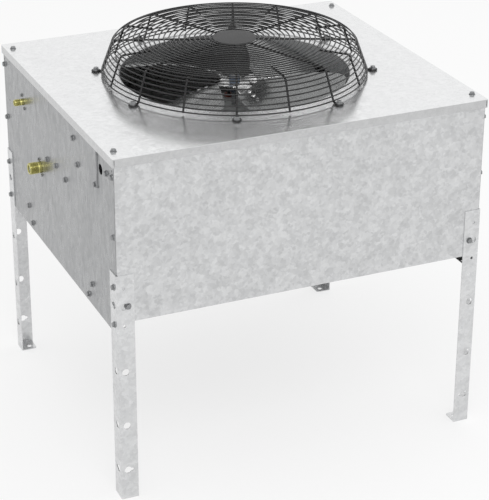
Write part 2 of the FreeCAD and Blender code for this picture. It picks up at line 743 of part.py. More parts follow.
def make_cross_rail(side, y, width, height, top, wall, screws, bolts, label):
    """A channel from side panel to side panel, open below, with a screw tab at each end."""
    body = new_body("Rail")
    reach = half_length - s.panel_sheet
    profile = new_sketch(body, "YZ_Plane")
    middle = side * y
    y0, y1 = middle - width / 2, middle + width / 2
    draw_outline(profile, [(y0, top - height), (y0 + wall, top - height), (y0 + wall, top - wall),
                           (y1 - wall, top - wall), (y1 - wall, top - height),
                           (y1, top - height), (y1, top), (y0, top)])
    pad(body, profile, reach * 2, midplane=True)
    tabs = new_sketch(body, "XZ_Plane")
    for sx in (-1, 1):
        draw_outline(tabs, rectangle(sx * (reach - wall), top - height, sx * reach, top))
    tabs.AttachmentOffset = Placement(Vector(0, 0, -float(middle)), Rotation())
    tabs.setExpression("AttachmentOffset.Base.z", (-middle).formula)
    pad(body, tabs, width, midplane=True)
    end_holes = new_sketch(body, "YZ_Plane")
    for hole_y, hole_z in screws:
        draw_circle(end_holes, hole_y, hole_z, screw_hole)
    cut_through(body, end_holes)
    top_holes = new_sketch(body, "XY_Plane")
    for hole_x, hole_y, radius in bolts:
        draw_circle(top_holes, hole_x, hole_y, radius)
    cut_through(body, top_holes)
    keep(body, label)


motor_bottom = s.rail_top
motor_top = s.rail_top + s.motor_height
bolt_hole = s.bolt_radius + s.running_clearance * 4
bolt_places = [(sx * s.bolt_circle * math.sqrt(0.5), sy * s.bolt_circle * math.sqrt(0.5))
               for sx in (-1, 1) for sy in (-1, 1)]
plug_x = s.plug_circle * math.cos(math.radians(float(s.plug_angle)))
plug_y = s.plug_circle * math.sin(math.radians(float(s.plug_angle)))
stator_bottom = (motor_bottom + motor_top) / 2 - s.stator_height / 2
stator_top = stator_bottom + s.stator_height


def bolt_holes():
    return [cylinder(bolt_hole, s.motor_height + 2, x, y, motor_bottom - 1)
            for x, y in bolt_places]


def make_bell(bottom, upward, label):
    """An end bell: a shallow cup with a bearing boss inside. upward is 1 for the lower bell."""
    height, wall = s.bell_height, s.bell_wall
    cup_z = bottom if upward > 0 else bottom - height
    cavity_z = bottom + wall if upward > 0 else bottom - height - 1
    cup = cylinder(s.motor_radius - s.motor_sheet - s.running_clearance, height, z=cup_z)
    cavity = cylinder(s.motor_radius - s.motor_sheet - wall, height - wall + 1, z=cavity_z)
    boss_radius = s.bearing_radius + s.boss_wall
    boss_z = bottom if upward > 0 else bottom - s.bearing_length - wall
    boss = cylinder(boss_radius, s.bearing_length + wall, z=boss_z)
    if upward > 0:
        bores = [cylinder(s.bearing_radius, s.bearing_length + wall, z=bottom + wall)]
    else:
        bores = [cylinder(s.bearing_radius, s.bearing_length + wall, z=bottom - s.bearing_length
                          - wall * 2),
                 cylinder(s.shaft_radius + 1, wall * 3, z=bottom - wall * 2),
                 cylinder(s.plug_radius - 2, wall * 3, plug_x, plug_y, bottom - wall * 2)]
    keep(cut(join(cut(cup, cavity), boss), *(bores + bolt_holes())), label)


def make_motor():
    """A totally enclosed motor, shaft up, bolted down on the two rails."""
    make_bell(motor_bottom, 1, "motor_lower_bell")
    make_bell(motor_top, -1, "motor_upper_bell")
    keep(ring_section(s.motor_radius - s.motor_sheet, motor_bottom, s.motor_radius, motor_top),
         "motor_shell")
    stator_outer = s.motor_radius - s.motor_sheet
    keep(cut(ring_section(s.stator_inner, stator_bottom, stator_outer, stator_top),
             *bolt_holes()), "motor_stator")
    coils = [ring_section(s.winding_inner, z, s.winding_outer, z + s.winding_height)
             for z in (stator_top, stator_bottom - s.winding_height)]
    group("motor_windings", coils)
    bore = s.shaft_radius + s.running_clearance
    lower_z = motor_bottom + s.bell_wall
    upper_z = motor_top - s.bell_wall - s.bearing_length
    group("motor_bearings", [ring_section(bore, z, s.bearing_radius, z + s.bearing_length)
                             for z in (lower_z, upper_z)])
    bolt_head_z = motor_top
    nut_z = s.rail_top - s.rail_sheet - s.bolt_nut_height
    bolt = join(cylinder(s.bolt_radius, bolt_head_z - nut_z + s.bolt_nut_height * 0.5,
                         z=nut_z - s.bolt_nut_height * 0.5),
                prism(s.bolt_head * 2, s.bolt_head_height, z=bolt_head_z))
    group("motor_bolts", copies(bolt, [(x, y, 0, face_up) for x, y in bolt_places]))
    nut = cut(prism(s.bolt_head * 2, s.bolt_nut_height, z=nut_z),
              cylinder(s.bolt_radius, s.bolt_nut_height + 2, z=nut_z - 1))
    group("motor_nuts", copies(nut, [(x, y, 0, face_up) for x, y in bolt_places]))
    plug = join(cylinder(s.plug_radius, s.plug_rise, plug_x, plug_y, motor_top),
                cylinder(s.plug_radius - 2 - s.running_clearance, s.bell_wall, plug_x, plug_y,
                         motor_top - s.bell_wall))
    keep(cut(plug, cylinder(s.plug_bore, s.plug_rise + s.bell_wall + 2, plug_x, plug_y,
                            motor_top - s.bell_wall - 1)), "lead_grommet")


def make_rotor():
    """The turning core on its shaft, which rises through the fan's hub."""
    shaft_bottom = motor_bottom + s.bell_wall + s.shaft_end_gap
    keep(cylinder(s.shaft_radius, s.hub_top - shaft_bottom, z=shaft_bottom), "motor_shaft")
    keep(ring_section(s.shaft_radius, stator_bottom, s.stator_inner - s.rotor_gap, stator_top),
         "rotor_core")


# Fan

def sweep_at(radius):
    """How far the blade's middle line has swept ahead of its arm at a radius, in degrees."""
    start, tip = float(s.spider_radius), float(s.fan_radius)
    return float(s.blade_sweep) * max(radius - start, 0) / (tip - start)


def blade_height(radius, angle):
    """Height of the blade's mean surface at a radius and an angle from its arm."""
    flat, root, tip = float(s.spider_radius) * 0.9, float(s.blade_root), float(s.fan_radius)
    pitch_root, pitch_tip = float(s.blade_pitch_root), float(s.blade_pitch_tip)
    ease = min(max((radius - flat) / (root - flat), 0), 1)
    ease = ease * ease * (3 - 2 * ease)
    pitch = pitch_root * ease
    if radius > root:
        pitch = pitch_root + (pitch_tip - pitch_root) * (radius - root) / (tip - root)
    ahead = radius * math.radians(angle - sweep_at(radius))
    rise = ahead * math.tan(math.radians(pitch))
    return float(s.blade_middle_z) + rise - float(s.blade_camber) * ease * ahead * ahead


def blade_surface(r0, r1, a0, a1):
    """The mean surface between two radii and two angles, about the +X direction."""
    rows, columns = 15, 13
    grid = []
    for i in range(rows):
        radius = r0 + (r1 - r0) * i / (rows - 1)
        row = []
        for j in range(columns):
            angle = a0 + (a1 - a0) * j / (columns - 1)
            turn = math.radians(angle)
            row.append(Vector(radius * math.cos(turn), radius * math.sin(turn),
                              blade_height(radius, angle)))
        grid.append(row)
    surface = Part.BSplineSurface()
    surface.interpolate(grid)
    return surface.toShape()


def polar(radius, angle, z=0.0):
    return Vector(radius * math.cos(math.radians(angle)), radius * math.sin(math.radians(angle)), z)


def curve_through(points):
    spline = Part.BSplineCurve()
    spline.interpolate(points)
    return spline.toShape()


def blade_edges():
    """Low (front) edge from root to tip and high (rear) edge from tip to root."""
    root, tip = float(s.blade_root), float(s.fan_radius)
    span = tip - root
    sweep = float(s.blade_sweep)
    low = [(root, -22), (root + span * 0.32, -12), (root + span * 0.71, -3), (tip, sweep - 26)]
    high = [(tip, sweep + 26), (root + span * 0.71, 55), (root + span * 0.32, 46), (root, 28)]
    return low, high


def blade_outline():
    """Plan of a blade about its arm's direction, swept forwards, before its corners are rounded."""
    root, tip = float(s.blade_root), float(s.fan_radius)
    low, high = blade_edges()
    tip_arc = Part.Arc(polar(*low[-1]), polar(tip, float(s.blade_sweep)), polar(*high[0])).toShape()
    root_arc = Part.Arc(polar(*high[-1]), polar(root, 3), polar(*low[0])).toShape()
    return Part.Wire([curve_through([polar(*p) for p in low]), tip_arc,
                      curve_through([polar(*p) for p in high]), root_arc])


def rivet_radii():
    return [float(s.rivet_first) + i * float(s.rivet_pitch) for i in range(3)]


def rivet_frame(radius):
    """Where a rivet crosses the blade's middle line, and the surface's normal there."""
    step = 0.5
    point = polar(radius, 0, blade_height(radius, 0))
    across = (blade_height(radius, step) - blade_height(radius, -step)) / (
        2 * radius * math.radians(step))
    outwards = (blade_height(radius + step, 0) - blade_height(radius - step, 0)) / (2 * step)
    return point, Vector(-outwards, -across, 1).normalize()


def rivet_shank(radius, extra, clearance=0.0):
    point, normal = rivet_frame(radius)
    below = float(s.spider_sheet) + extra
    length = below + float(s.blade_sheet) + extra
    return Part.makeCylinder(float(s.rivet_radius) + clearance, length, point - normal * below,
                             normal)


def rivet_shape(radius):
    point, normal = rivet_frame(radius)
    head, high, seat = float(s.rivet_head), float(s.rivet_head_height), float(s.rivet_seat)
    above, below = float(s.blade_sheet) + seat, float(s.spider_sheet) + seat
    upper = Part.makeCylinder(head, high, point + normal * above, normal)
    lower = Part.makeCylinder(head, high, point - normal * (below + high), normal)
    return rivet_shank(radius, seat * 2).fuse([upper, lower])


def make_fan():
    """Blades riveted on a pressed spider, which is fixed on a hub on the motor's shaft."""
    count = int(float(s.blade_count))
    root, tip = float(s.blade_root), float(s.fan_radius)
    low, high = float(s.hub_bottom) - 200, float(s.hub_top) + 200

    def upright(wire, corner=0.0, corners=()):
        """An upright column over a plan outline, with some corners rounded."""
        column = Part.Face(wire).extrude(Vector(0, 0, high - low))
        column.translate(Vector(0, 0, low))
        edges = [e for e in column.Edges if len(e.Vertexes) == 2
                 and any(all(math.hypot(v.X - p.x, v.Y - p.y) < 0.01 for v in e.Vertexes)
                         for p in corners)]
        return column.makeFillet(corner, edges) if edges else column

    skin = blade_surface(root - 4, tip + 3, -34, 70)
    sheet_metal = skin.makeOffsetShape(float(s.blade_sheet), 0.001, fill=True)
    low_edge, high_edge = blade_edges()
    tips = [polar(*low_edge[-1]), polar(*high_edge[0])]
    blade = sheet_metal.common(upright(blade_outline(), float(s.blade_corner), tips))
    for radius in rivet_radii():
        blade = blade.cut(rivet_shank(radius, 3, float(s.rivet_seat)))

    half = float(s.spider_arm) / 2
    inner, reach = float(s.hub_radius), float(s.spider_reach)
    arm_skin = blade_surface(inner + 4, reach + 8, -50, 50)
    arm_metal = arm_skin.makeOffsetShape(-float(s.spider_sheet), 0.001, fill=True)
    end = Part.Arc(Vector(reach - half, half, 0), Vector(reach, 0, 0),
                   Vector(reach - half, -half, 0)).toShape()
    near_x = math.sqrt(float(s.spider_radius) ** 2 - half ** 2) - 4
    arm_plan = Part.Wire([
        Part.LineSegment(Vector(near_x, -half, 0), Vector(near_x, half, 0)).toShape(),
        Part.LineSegment(Vector(near_x, half, 0), Vector(reach - half, half, 0)).toShape(), end,
        Part.LineSegment(Vector(reach - half, -half, 0), Vector(near_x, -half, 0)).toShape()])
    arm = arm_metal.common(upright(arm_plan))
    for radius in rivet_radii():
        arm = arm.cut(rivet_shank(radius, 3, float(s.rivet_seat)))
    rim = 0.6
    z_plate = float(s.blade_middle_z - s.spider_sheet) - rim
    plate = Part.makeCylinder(float(s.spider_radius), float(s.spider_sheet) + 2 * rim,
                              Vector(0, 0, z_plate))
    start = float(s.first_blade)
    turns = [start + 360 * i / count for i in range(count)]
    spider = plate.fuse([turned(arm, turn) for turn in turns])
    spider = spider.cut(Part.makeCylinder(inner, float(s.spider_sheet) + 4,
                                          Vector(0, 0, z_plate - 1)))
    feature_of(spider, "fan_spider")
    for number, turn in enumerate(turns, start=1):
        feature_of(turned(blade, turn), f"fan_blade_{number}")
    rivets = [turned(rivet_shape(r), turn) for turn in turns for r in rivet_radii()]
    feature_of(Part.makeCompound(rivets), "blade_rivets")

    set_axis = Rotation(Vector(0, 0, 1), Vector(1, 0, 0))
    hub = ring_section(s.shaft_radius, s.hub_bottom, s.hub_radius, s.hub_top)
    keep(cut(hub, cylinder(s.set_screw_radius, s.hub_radius + 2, z=s.set_screw_z,
                           rotation=set_axis)), "fan_hub")
    screw_body = cylinder(s.set_screw_radius, s.hub_radius - s.shaft_radius - 0.5,
                          x=s.shaft_radius + 0.3, z=s.set_screw_z, rotation=set_axis)
    keep(screw_body, "hub_set_screw")


# Coil

fin_bottom = s.coil_rail_top + s.end_plate_sheet + s.fin_lift
row_low = fin_bottom + s.fin_height / 2 - s.tube_row_pitch / 2
row_high = row_low + s.tube_row_pitch


def tube_places(row):
    """Plan Y of each tube of a row, from the rear; the upper row (1) is shifted back."""
    count = int(float(s.tubes_per_row))
    pitch = float(tube_pitch)
    shift = pitch / 4 if row else -pitch / 4
    return [pitch * (count - 1) / 2 + shift - pitch * i for i in range(count)]


def make_coil():
    """Two staggered rows of hairpin tubes through plate fins, carried by two end plates."""
    reach = float(coil_half_length + s.tube_stub)
    radius, wall = float(s.tube_radius), float(s.tube_wall)
    rows = [(float(row_low), tube_places(0)), (float(row_high), tube_places(1))]
    holes = [(y, z) for z, places in rows for y in places]

    hairpins = []
    for z, places in rows:
        for first, second in zip(places[0::2], places[1::2]):
            bend = (first - second) / 2
            path = Part.Wire([
                Part.LineSegment(Vector(-reach, first, z), Vector(reach, first, z)).toShape(),
                Part.Arc(Vector(reach, first, z), Vector(reach + bend, first - bend, z),
                         Vector(reach, second, z)).toShape(),
                Part.LineSegment(Vector(reach, second, z), Vector(-reach, second, z)).toShape()])
            hairpins.append(tube_along(path, radius, wall))
    feature_of(Part.makeCompound(hairpins), "coil_hairpins")

    def return_bend(start, end):
        """A half circle between two open tube ends at the left end plate."""
        middle = (start + end) / 2 + Vector(-(start - end).Length / 2, 0, 0)
        return tube_along(Part.Wire([Part.Arc(start, middle, end).toShape()]), radius, wall)

    bends = []
    for z, places in rows:
        for first, second in zip(places[1::2], places[2::2]):
            bends.append(return_bend(Vector(-reach, first, z), Vector(-reach, second, z)))
    bends.append(return_bend(Vector(-reach, rows[1][1][-1], rows[1][0]),
                             Vector(-reach, rows[0][1][-1], rows[0][0])))
    feature_of(Part.makeCompound(bends), "return_bends")

    def drilled_plate(x, thickness, bottom, height, half_depth_of_plate):
        """An upright plate across the tubes, drilled for all of them."""
        y, top = half_depth_of_plate, bottom + height
        border = Part.makePolygon([Vector(x, -y, bottom), Vector(x, y, bottom), Vector(x, y, top),
                                   Vector(x, -y, top), Vector(x, -y, bottom)])
        rings = [Part.Wire([Part.Circle(Vector(x, y, z), Vector(1, 0, 0), radius).toShape()])
                 for y, z in holes]
        drilled = Part.Face([border] + rings)
        drilled.validate()
        return drilled.extrude(Vector(thickness, 0, 0))

    half = float(coil_half_length)
    sheet_x, fin = float(s.end_plate_sheet), float(s.fin_sheet)
    bottom, height = float(fin_bottom), float(s.fin_height)
    count = int(float(s.fin_count))
    master = drilled_plate(0, fin, bottom, height, float(fin_half_depth))
    fins = []
    for i in range(count):
        fin_plate = master.copy()
        x = -half + sheet_x + 4 + (2 * half - 2 * sheet_x - 8 - fin) * i / (count - 1)
        fin_plate.translate(Vector(x, 0, 0))
        fins.append(fin_plate)
    feature_of(Part.makeCompound(fins), "coil_fins")

    foot, rail_top = float(s.end_plate_foot), float(s.coil_rail_top)
    plate_half = float(fin_half_depth) + 4
    for side, label in ((-1, "coil_end_plate_left"), (1, "coil_end_plate_right")):
        x = -half if side < 0 else half - sheet_x
        plate = drilled_plate(x, sheet_x, rail_top, height + 2 * float(s.fin_lift) + sheet_x,
                              plate_half)
        x_foot = -half - foot if side < 0 else half
        flange = Part.makeBox(foot, 2 * plate_half, sheet_x, Vector(x_foot, -plate_half, rail_top))
        whole = plate.fuse(flange).removeSplitter()
        for sy in (-1, 1):
            whole = whole.cut(Part.makeCylinder(
                float(screw_hole), 3 * sheet_x,
                Vector(side * (half + foot / 2), sy * float(coil_rail_y), rail_top - sheet_x)))
        feature_of(whole, label)


# Refrigerant lines and couplings

def coil_end(row):
    """The open tube end of a row at the rear of the left end plate."""
    z = float(row_high) if row else float(row_low)
    return Vector(-float(coil_half_length + s.tube_stub), tube_places(row)[0], z)


def make_lines():
    """The lines from the couplings to the coil's open tube ends, clear of each other."""
    inside = -float(half_length - s.panel_sheet) + float(s.coupling_inside)
    wall = float(s.line_wall)

    radius = float(s.discharge_line)
    end = coil_end(1)
    y, z = float(s.discharge_y), float(s.discharge_z)
    turn_x, drop_x = inside + 28, end.x - 14
    points = [(inside - float(s.line_socket), y, z), (turn_x, y, z), (turn_x, end.y, z - 14),
              (drop_x, end.y, z - 14 - (turn_x - drop_x)), (drop_x, end.y, end.z), tuple(end)]
    feature_of(tube_along(bent_wire(points, [19, 19, 17, 13]), radius, wall), "discharge_line")

    radius = float(s.liquid_line)
    end = coil_end(0)
    y, z = float(s.liquid_y), float(s.liquid_z)
    turn_x = inside + 26
    points = [(inside - float(s.line_socket), y, z), (turn_x, y, z), (drop_x, end.y, z - 80),
              (drop_x, end.y, end.z), tuple(end)]
    feature_of(tube_along(bent_wire(points, [18, 40, 13]), radius, wall), "liquid_line")


def make_coupling(name, y, z, thread, reach, bore, line, ear):
    """A self-sealing coupling through the left panel, with its poppet and spring.

    Local Z runs outwards: the panel's outer face is at z 0, the open mouth at z reach.
    """
    out = face_left
    x_face = -half_length
    back = -(s.panel_sheet + s.coupling_inside)
    seat = reach - s.poppet_recess
    guide = s.guide_wall - s.panel_sheet - s.ear_sheet

    def turned_ring(radius, z0, z1):
        return cylinder(radius, as_size(z1) - z0, z=z0)

    pieces = [turned_ring(thread - s.thread_depth, back, reach),
              turned_ring(thread - s.thread_depth / 2, -s.panel_sheet, s.collar_length),
              turned_ring(thread + 2, -s.panel_sheet - s.ear_sheet, -s.panel_sheet)]
    crests = int((float(reach - s.collar_length) - 1) / float(s.thread_pitch))
    for i in range(crests):
        z0 = s.collar_length + s.thread_pitch * (i + 0.6)
        pieces.append(turned_ring(thread, z0, z0 + s.thread_pitch * 0.5))
    local_ears = []
    turn = math.radians(float(s.ear_angle))
    for sign in (-1, 1):
        local_ears.append((sign * ear * math.sin(turn), -sign * ear * math.cos(turn)))
    for ex, ey in local_ears:
        pieces.append(cylinder(s.ear_radius, s.ear_sheet, ex, ey, -s.panel_sheet - s.ear_sheet))
        pieces.append(cylinder(s.ear_radius, s.ear_sheet, ex * 0.55, ey * 0.55,
                               -s.panel_sheet - s.ear_sheet))
    stem = bore * 0.28
    depth = reach - guide
    bores = [turned_ring(bore, guide, reach + 1),
             turned_ring(stem + s.running_clearance, guide - s.guide_wall - 1, guide + 1),
             turned_ring(line - s.line_wall, back - 1, guide - s.guide_wall),
             turned_ring(line + s.running_clearance, back - 1, back + s.line_socket)]
    for ex, ey in local_ears:
        bores.append(cylinder(small_hole, s.ear_sheet * 3, ex, ey, -s.panel_sheet - s.ear_sheet * 2))
    body = cut(join(*pieces), *bores)
    keep(move(body, x_face, y, z, out), f"{name}_coupling")

    head_radius = bore - s.poppet_clearance
    stem_end = guide - s.guide_wall + 1
    poppet = join(turned_ring(head_radius, seat - s.poppet_head, seat),
                  turned_ring(stem, stem_end, seat - s.poppet_head))
    keep(move(poppet, x_face, y, z, out), f"{name}_poppet")

    wire = float(bore) * 0.055
    mean = float(bore) * 0.64
    length = float(seat - s.poppet_head - s.poppet_travel - guide) - 2 * wire - 0.6
    turns = 4
    helix = Part.makeHelix(length / turns, length, mean)
    profile = Part.Wire([Part.Circle(Vector(mean, 0, 0), Vector(0, 1, 0), wire).toShape()])
    coil = Part.Wire(helix.Edges).makePipeShell([profile], True, True)
    lift = float(guide) + wire + 0.3
    spring = feature_of(coil, f"{name}_spring")
    move(spring, x_face - lift, y, z, out)


def make_couplings():
    make_coupling("discharge", s.discharge_y, s.discharge_z, s.discharge_thread,
                  s.discharge_reach, s.discharge_bore, s.discharge_line, s.discharge_ear)
    make_coupling("liquid", s.liquid_y, s.liquid_z, s.liquid_thread, s.liquid_reach,
                  s.liquid_bore, s.liquid_line, s.liquid_ear)
    places = [(-half_length, y, z, face_left)
              for y, z in ear_places(s.discharge_y, s.discharge_z, s.discharge_ear)
              + ear_places(s.liquid_y, s.liquid_z, s.liquid_ear)]
    group("coupling_screws", copies(small_screw, places))


# Electrical compartment

box_inner_x = s.panel_sheet - half_length
box_back_x = box_inner_x + s.box_depth


def make_junction_box():
    """A tray on the inside of the left panel, which closes its open side."""
    wall = s.box_sheet
    shell = cut(block(box_inner_x, box_front_y, s.box_bottom, box_back_x, box_rear_y,
                      s.box_top),
                block(box_inner_x - 1, box_front_y + wall, s.box_bottom + wall,
                      box_back_x - wall, box_rear_y - wall, s.box_top - wall))
    front = block(box_inner_x, box_front_y - s.box_flange, s.box_bottom, box_inner_x + wall,
                  box_front_y + wall / 2, s.box_top)
    rear = block(box_inner_x, box_rear_y - wall / 2, s.box_bottom, box_inner_x + wall,
                 box_rear_y + s.box_flange, s.box_top)
    low = block(box_inner_x, box_front_y, s.box_bottom - s.box_flange, box_inner_x + wall,
                box_rear_y, s.box_bottom + wall / 2)
    holes = [cylinder(screw_hole, s.box_sheet * 6, box_inner_x - 2, y, z, face_right)
             for y, z in box_screw_places()]
    lead_hole = cylinder(s.bush_radius - 2, wall * 4, box_back_x - 12, bush_y,
                         s.box_bottom - wall)
    keep(cut(join(shell, front, rear, low), *(holes + [lead_hole])), "junction_box")


def make_capacitor():
    """The motor's run capacitor, strapped to the floor of the tray."""
    along = Rotation(Vector(0, 0, 1), Vector(0, 1, 0))
    wall = s.box_sheet
    radius, strap = s.capacitor_radius, s.strap_sheet
    x = box_inner_x + s.box_depth / 2
    z = s.box_bottom + wall + radius
    can = cylinder(radius, s.capacitor_length, x, capacitor_y - s.capacitor_length / 2, z, along)
    terminal = cylinder(radius * 0.2, 5, x, capacitor_y + s.capacitor_length / 2, z, along)
    keep(join(can, terminal), "run_capacitor")
    outer = cylinder(radius + strap, s.strap_width, x, capacitor_y - s.strap_width / 2, z, along)
    y0, y1 = capacitor_y - s.strap_width / 2, capacitor_y + s.strap_width / 2
    foot = block(x - radius - strap - 5, y0, s.box_bottom + wall, x + radius + strap + 5, y1,
                 s.box_bottom + wall + strap)
    legs = block(x - radius - strap, y0, s.box_bottom + wall, x + radius + strap, y1, z)
    inside = cylinder(radius, s.strap_width + 2, x, y0 - 1, z, along)
    under = block(x - radius, y0 - 1, s.box_bottom + wall - 1, x + radius, y1 + 1, z)
    keep(cut(join(outer, foot, legs), inside, under), "capacitor_strap")


def lead_points():
    """Route of the motor's lead: out of the tray, through the clip, along the rail, up the motor."""
    x0 = float(box_back_x) - 12
    y0 = float(bush_y)
    z0 = float(s.box_bottom - s.bush_length)
    x_clip = float(box_inner_x) + float(s.lead_radius + s.clip_sheet)
    z_clip = float(s.clip_z + s.clip_rise)
    return x0, y0, z0, x_clip, z_clip


def make_motor_lead():
    """The motor's lead, its bush in the tray and the clip that holds it on the left panel."""
    x0, y0, z0, x_clip, z_clip = lead_points()
    radius = float(s.lead_radius)
    px, py = float(plug_x), float(plug_y)
    top = float(motor_top)
    rise = top + float(s.plug_rise) + 22
    points = [(x0, y0, float(s.box_bottom) + 10), (x0, y0, z0 - 22), (x_clip, (y0 + 43) / 2, z_clip),
              (x_clip, 45, z_clip), (x_clip + 90, 118, z_clip), (-150, 118, z_clip + 5),
              (-60, 116, z_clip + 32), (px - 10, py + 42, rise - 18), (px, py, rise),
              (px, py, top - 8)]
    radii = [22, 40, 30, 45, 60, 45, 16, 9]
    feature_of(rod_along(bent_wire(points, radii), radius), "motor_lead")

    bush = join(cylinder(s.bush_radius, s.bush_length * 0.5, x0, bush_y,
                         s.box_bottom - s.bush_length * 0.5),
                cylinder(s.bush_radius - 2 - s.running_clearance, s.bush_length * 0.5 + 2, x0,
                         bush_y, s.box_bottom - 0.5))
    keep(cut(bush, cylinder(s.lead_radius, s.bush_length * 3, x0, bush_y,
                            s.box_bottom - s.bush_length)), "lead_bush")

    along = Rotation(Vector(0, 0, 1), Vector(0, 1, 0))
    sheet_of_clip, wide = s.clip_sheet, s.clip_width
    loop = cylinder(s.lead_radius + sheet_of_clip, wide, x_clip, -wide / 2, z_clip, along)
    tab = block(box_inner_x, -wide / 2, s.clip_z - wide / 2, box_inner_x + sheet_of_clip,
                wide / 2, s.clip_z + s.clip_rise)
    hole = cylinder(screw_hole, 8, box_inner_x - 2, 0, s.clip_z, face_right)
    keep(cut(join(loop, tab), cylinder(s.lead_radius, wide + 2, x_clip, -wide / 2 - 1, z_clip,
                                       along), hole), "lead_clip")


make_top_panel()
make_end_panel(-1, "front_panel")
make_end_panel(1, "rear_panel")
make_side_panel(-1, "left_side_panel")
make_side_panel(1, "right_side_panel")
make_leg(-1, -1, "leg_front_left")
make_leg(1, -1, "leg_front_right")
make_leg(-1, 1, "leg_rear_left")
make_leg(1, 1, "leg_rear_right")
make_casing_screws()
make_fan_orifice()
make_guard()
for side, end_name in ((-1, "front"), (1, "rear")):
    make_cross_rail(side, s.rail_y, s.rail_width, s.rail_height, s.rail_top, s.rail_sheet,
                    [(side * s.rail_y, s.rail_top - s.rail_height / 2)],
                    [(x, y, bolt_hole) for x, y in bolt_places if float(y) * side > 0],
                    f"motor_rail_{end_name}")
    coil_bolt_x = coil_half_length + s.end_plate_foot / 2
    make_cross_rail(side, coil_rail_y, s.coil_rail_width, s.coil_rail_height, s.coil_rail_top,
                    s.coil_rail_sheet,
                    [(side * (coil_rail_y + s.coil_screw_y), s.coil_screw_high),
                     (side * (coil_rail_y - s.coil_screw_y), s.coil_screw_low)],
                    [(sx * coil_bolt_x, side * coil_rail_y, screw_hole) for sx in (-1, 1)],
                    f"coil_rail_{end_name}")
make_motor()
make_rotor()
make_fan()
make_coil()
make_lines()
make_couplings()
make_junction_box()
make_capacitor()
make_motor_lead()

doc.recompute()

# Every object has to be sound before anything is written
faults = []
for thing in doc.Objects:
    if "Invalid" in thing.State or "Error" in thing.State:
        faults.append(f"{thing.Label} is {thing.State}")
for part in subparts:
    shape = part.Shape
    if shape.isNull() or not shape.isValid() or not shape.Solids:
        faults.append(f"{part.Label} has no valid solid")
if faults:
    raise SystemExit("; ".join(faults))

for part in subparts:
    part.Shape.exportStep(f"parts/{part.Label}.step")
    box = part.Shape.BoundBox
    print(f"{part.Label}: {len(part.Shape.Solids)} solids, {part.Shape.Volume / 1000:.2f} cm3, "
          f"x {box.XMin:.1f}..{box.XMax:.1f} y {box.YMin:.1f}..{box.YMax:.1f} "
          f"z {box.ZMin:.1f}..{box.ZMax:.1f}")
print(len(subparts), "sub-parts")
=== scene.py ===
import bmesh
import bpy
import math
from mathutils import Matrix, Vector


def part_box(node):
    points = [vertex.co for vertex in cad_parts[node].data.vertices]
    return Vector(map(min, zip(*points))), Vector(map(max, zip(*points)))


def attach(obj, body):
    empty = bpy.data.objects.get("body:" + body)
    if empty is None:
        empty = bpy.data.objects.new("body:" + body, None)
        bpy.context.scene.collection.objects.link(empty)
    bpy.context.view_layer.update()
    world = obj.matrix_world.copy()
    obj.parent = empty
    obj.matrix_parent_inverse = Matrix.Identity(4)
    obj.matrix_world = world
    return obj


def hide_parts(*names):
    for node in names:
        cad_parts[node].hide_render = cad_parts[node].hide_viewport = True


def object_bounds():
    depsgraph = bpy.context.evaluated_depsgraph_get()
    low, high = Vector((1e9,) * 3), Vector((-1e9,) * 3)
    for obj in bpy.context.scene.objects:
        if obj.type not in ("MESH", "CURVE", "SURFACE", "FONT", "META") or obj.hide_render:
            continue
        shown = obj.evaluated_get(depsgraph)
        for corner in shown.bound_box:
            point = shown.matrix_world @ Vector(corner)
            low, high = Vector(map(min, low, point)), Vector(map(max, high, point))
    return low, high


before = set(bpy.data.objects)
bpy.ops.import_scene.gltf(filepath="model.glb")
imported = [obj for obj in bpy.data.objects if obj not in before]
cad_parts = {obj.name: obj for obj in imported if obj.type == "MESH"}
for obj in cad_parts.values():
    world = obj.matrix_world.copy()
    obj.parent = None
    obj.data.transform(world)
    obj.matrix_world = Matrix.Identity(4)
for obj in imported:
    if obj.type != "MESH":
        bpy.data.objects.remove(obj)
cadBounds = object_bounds()
print("frame loaded:", len(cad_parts), "nodes")

mm = 0.001
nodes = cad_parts
pi = math.pi


# Small helpers

def boxOf(node):
    low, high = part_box(node)
    return low, high, (low + high) / 2


def newObject(name, mesh):
    made = bpy.data.objects.new(name, mesh)
    bpy.context.scene.collection.objects.link(made)
    return made


def finishPiece(piece, body, finish, replaced=()):
    piece.data.materials.clear()
    piece.data.materials.append(finish)
    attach(piece, body)
    if replaced:
        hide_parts(*replaced)
    return piece


def smoothByAngle(mesh, degrees=32):
    mesh.shade_smooth()
    mesh.set_sharp_from_angle(angle=math.radians(degrees))


def meshFrom(name, vertices, faces, weld=0.0):
    mesh = bpy.data.meshes.new(name)
    mesh.from_pydata(vertices, [], faces)
    work = bmesh.new()
    work.from_mesh(mesh)
    if weld:
        bmesh.ops.remove_doubles(work, verts=work.verts, dist=weld)
    bmesh.ops.recalc_face_normals(work, faces=work.faces)
    work.to_mesh(mesh)
    work.free()
    return mesh


def joinMeshes(name, meshes):
    work = bmesh.new()
    for mesh in meshes:
        work.from_mesh(mesh)
    joined = bpy.data.meshes.new(name)
    work.to_mesh(joined)
    work.free()
    return joined


def lathe(name, profile, steps=96, closed=True):
    vertices, faces = [], []
    count = len(profile)
    for i in range(steps):
        turn = 2 * pi * i / steps
        for radius, z in profile:
            vertices.append((radius * math.cos(turn), radius * math.sin(turn), z))
    spans = count if closed else count - 1
    for i in range(steps):
        j = (i + 1) % steps
        for k in range(spans):
            n = (k + 1) % count
            faces.append((i * count + k, j * count + k, j * count + n, i * count + n))
    return meshFrom(name, vertices, faces, weld=1e-6)


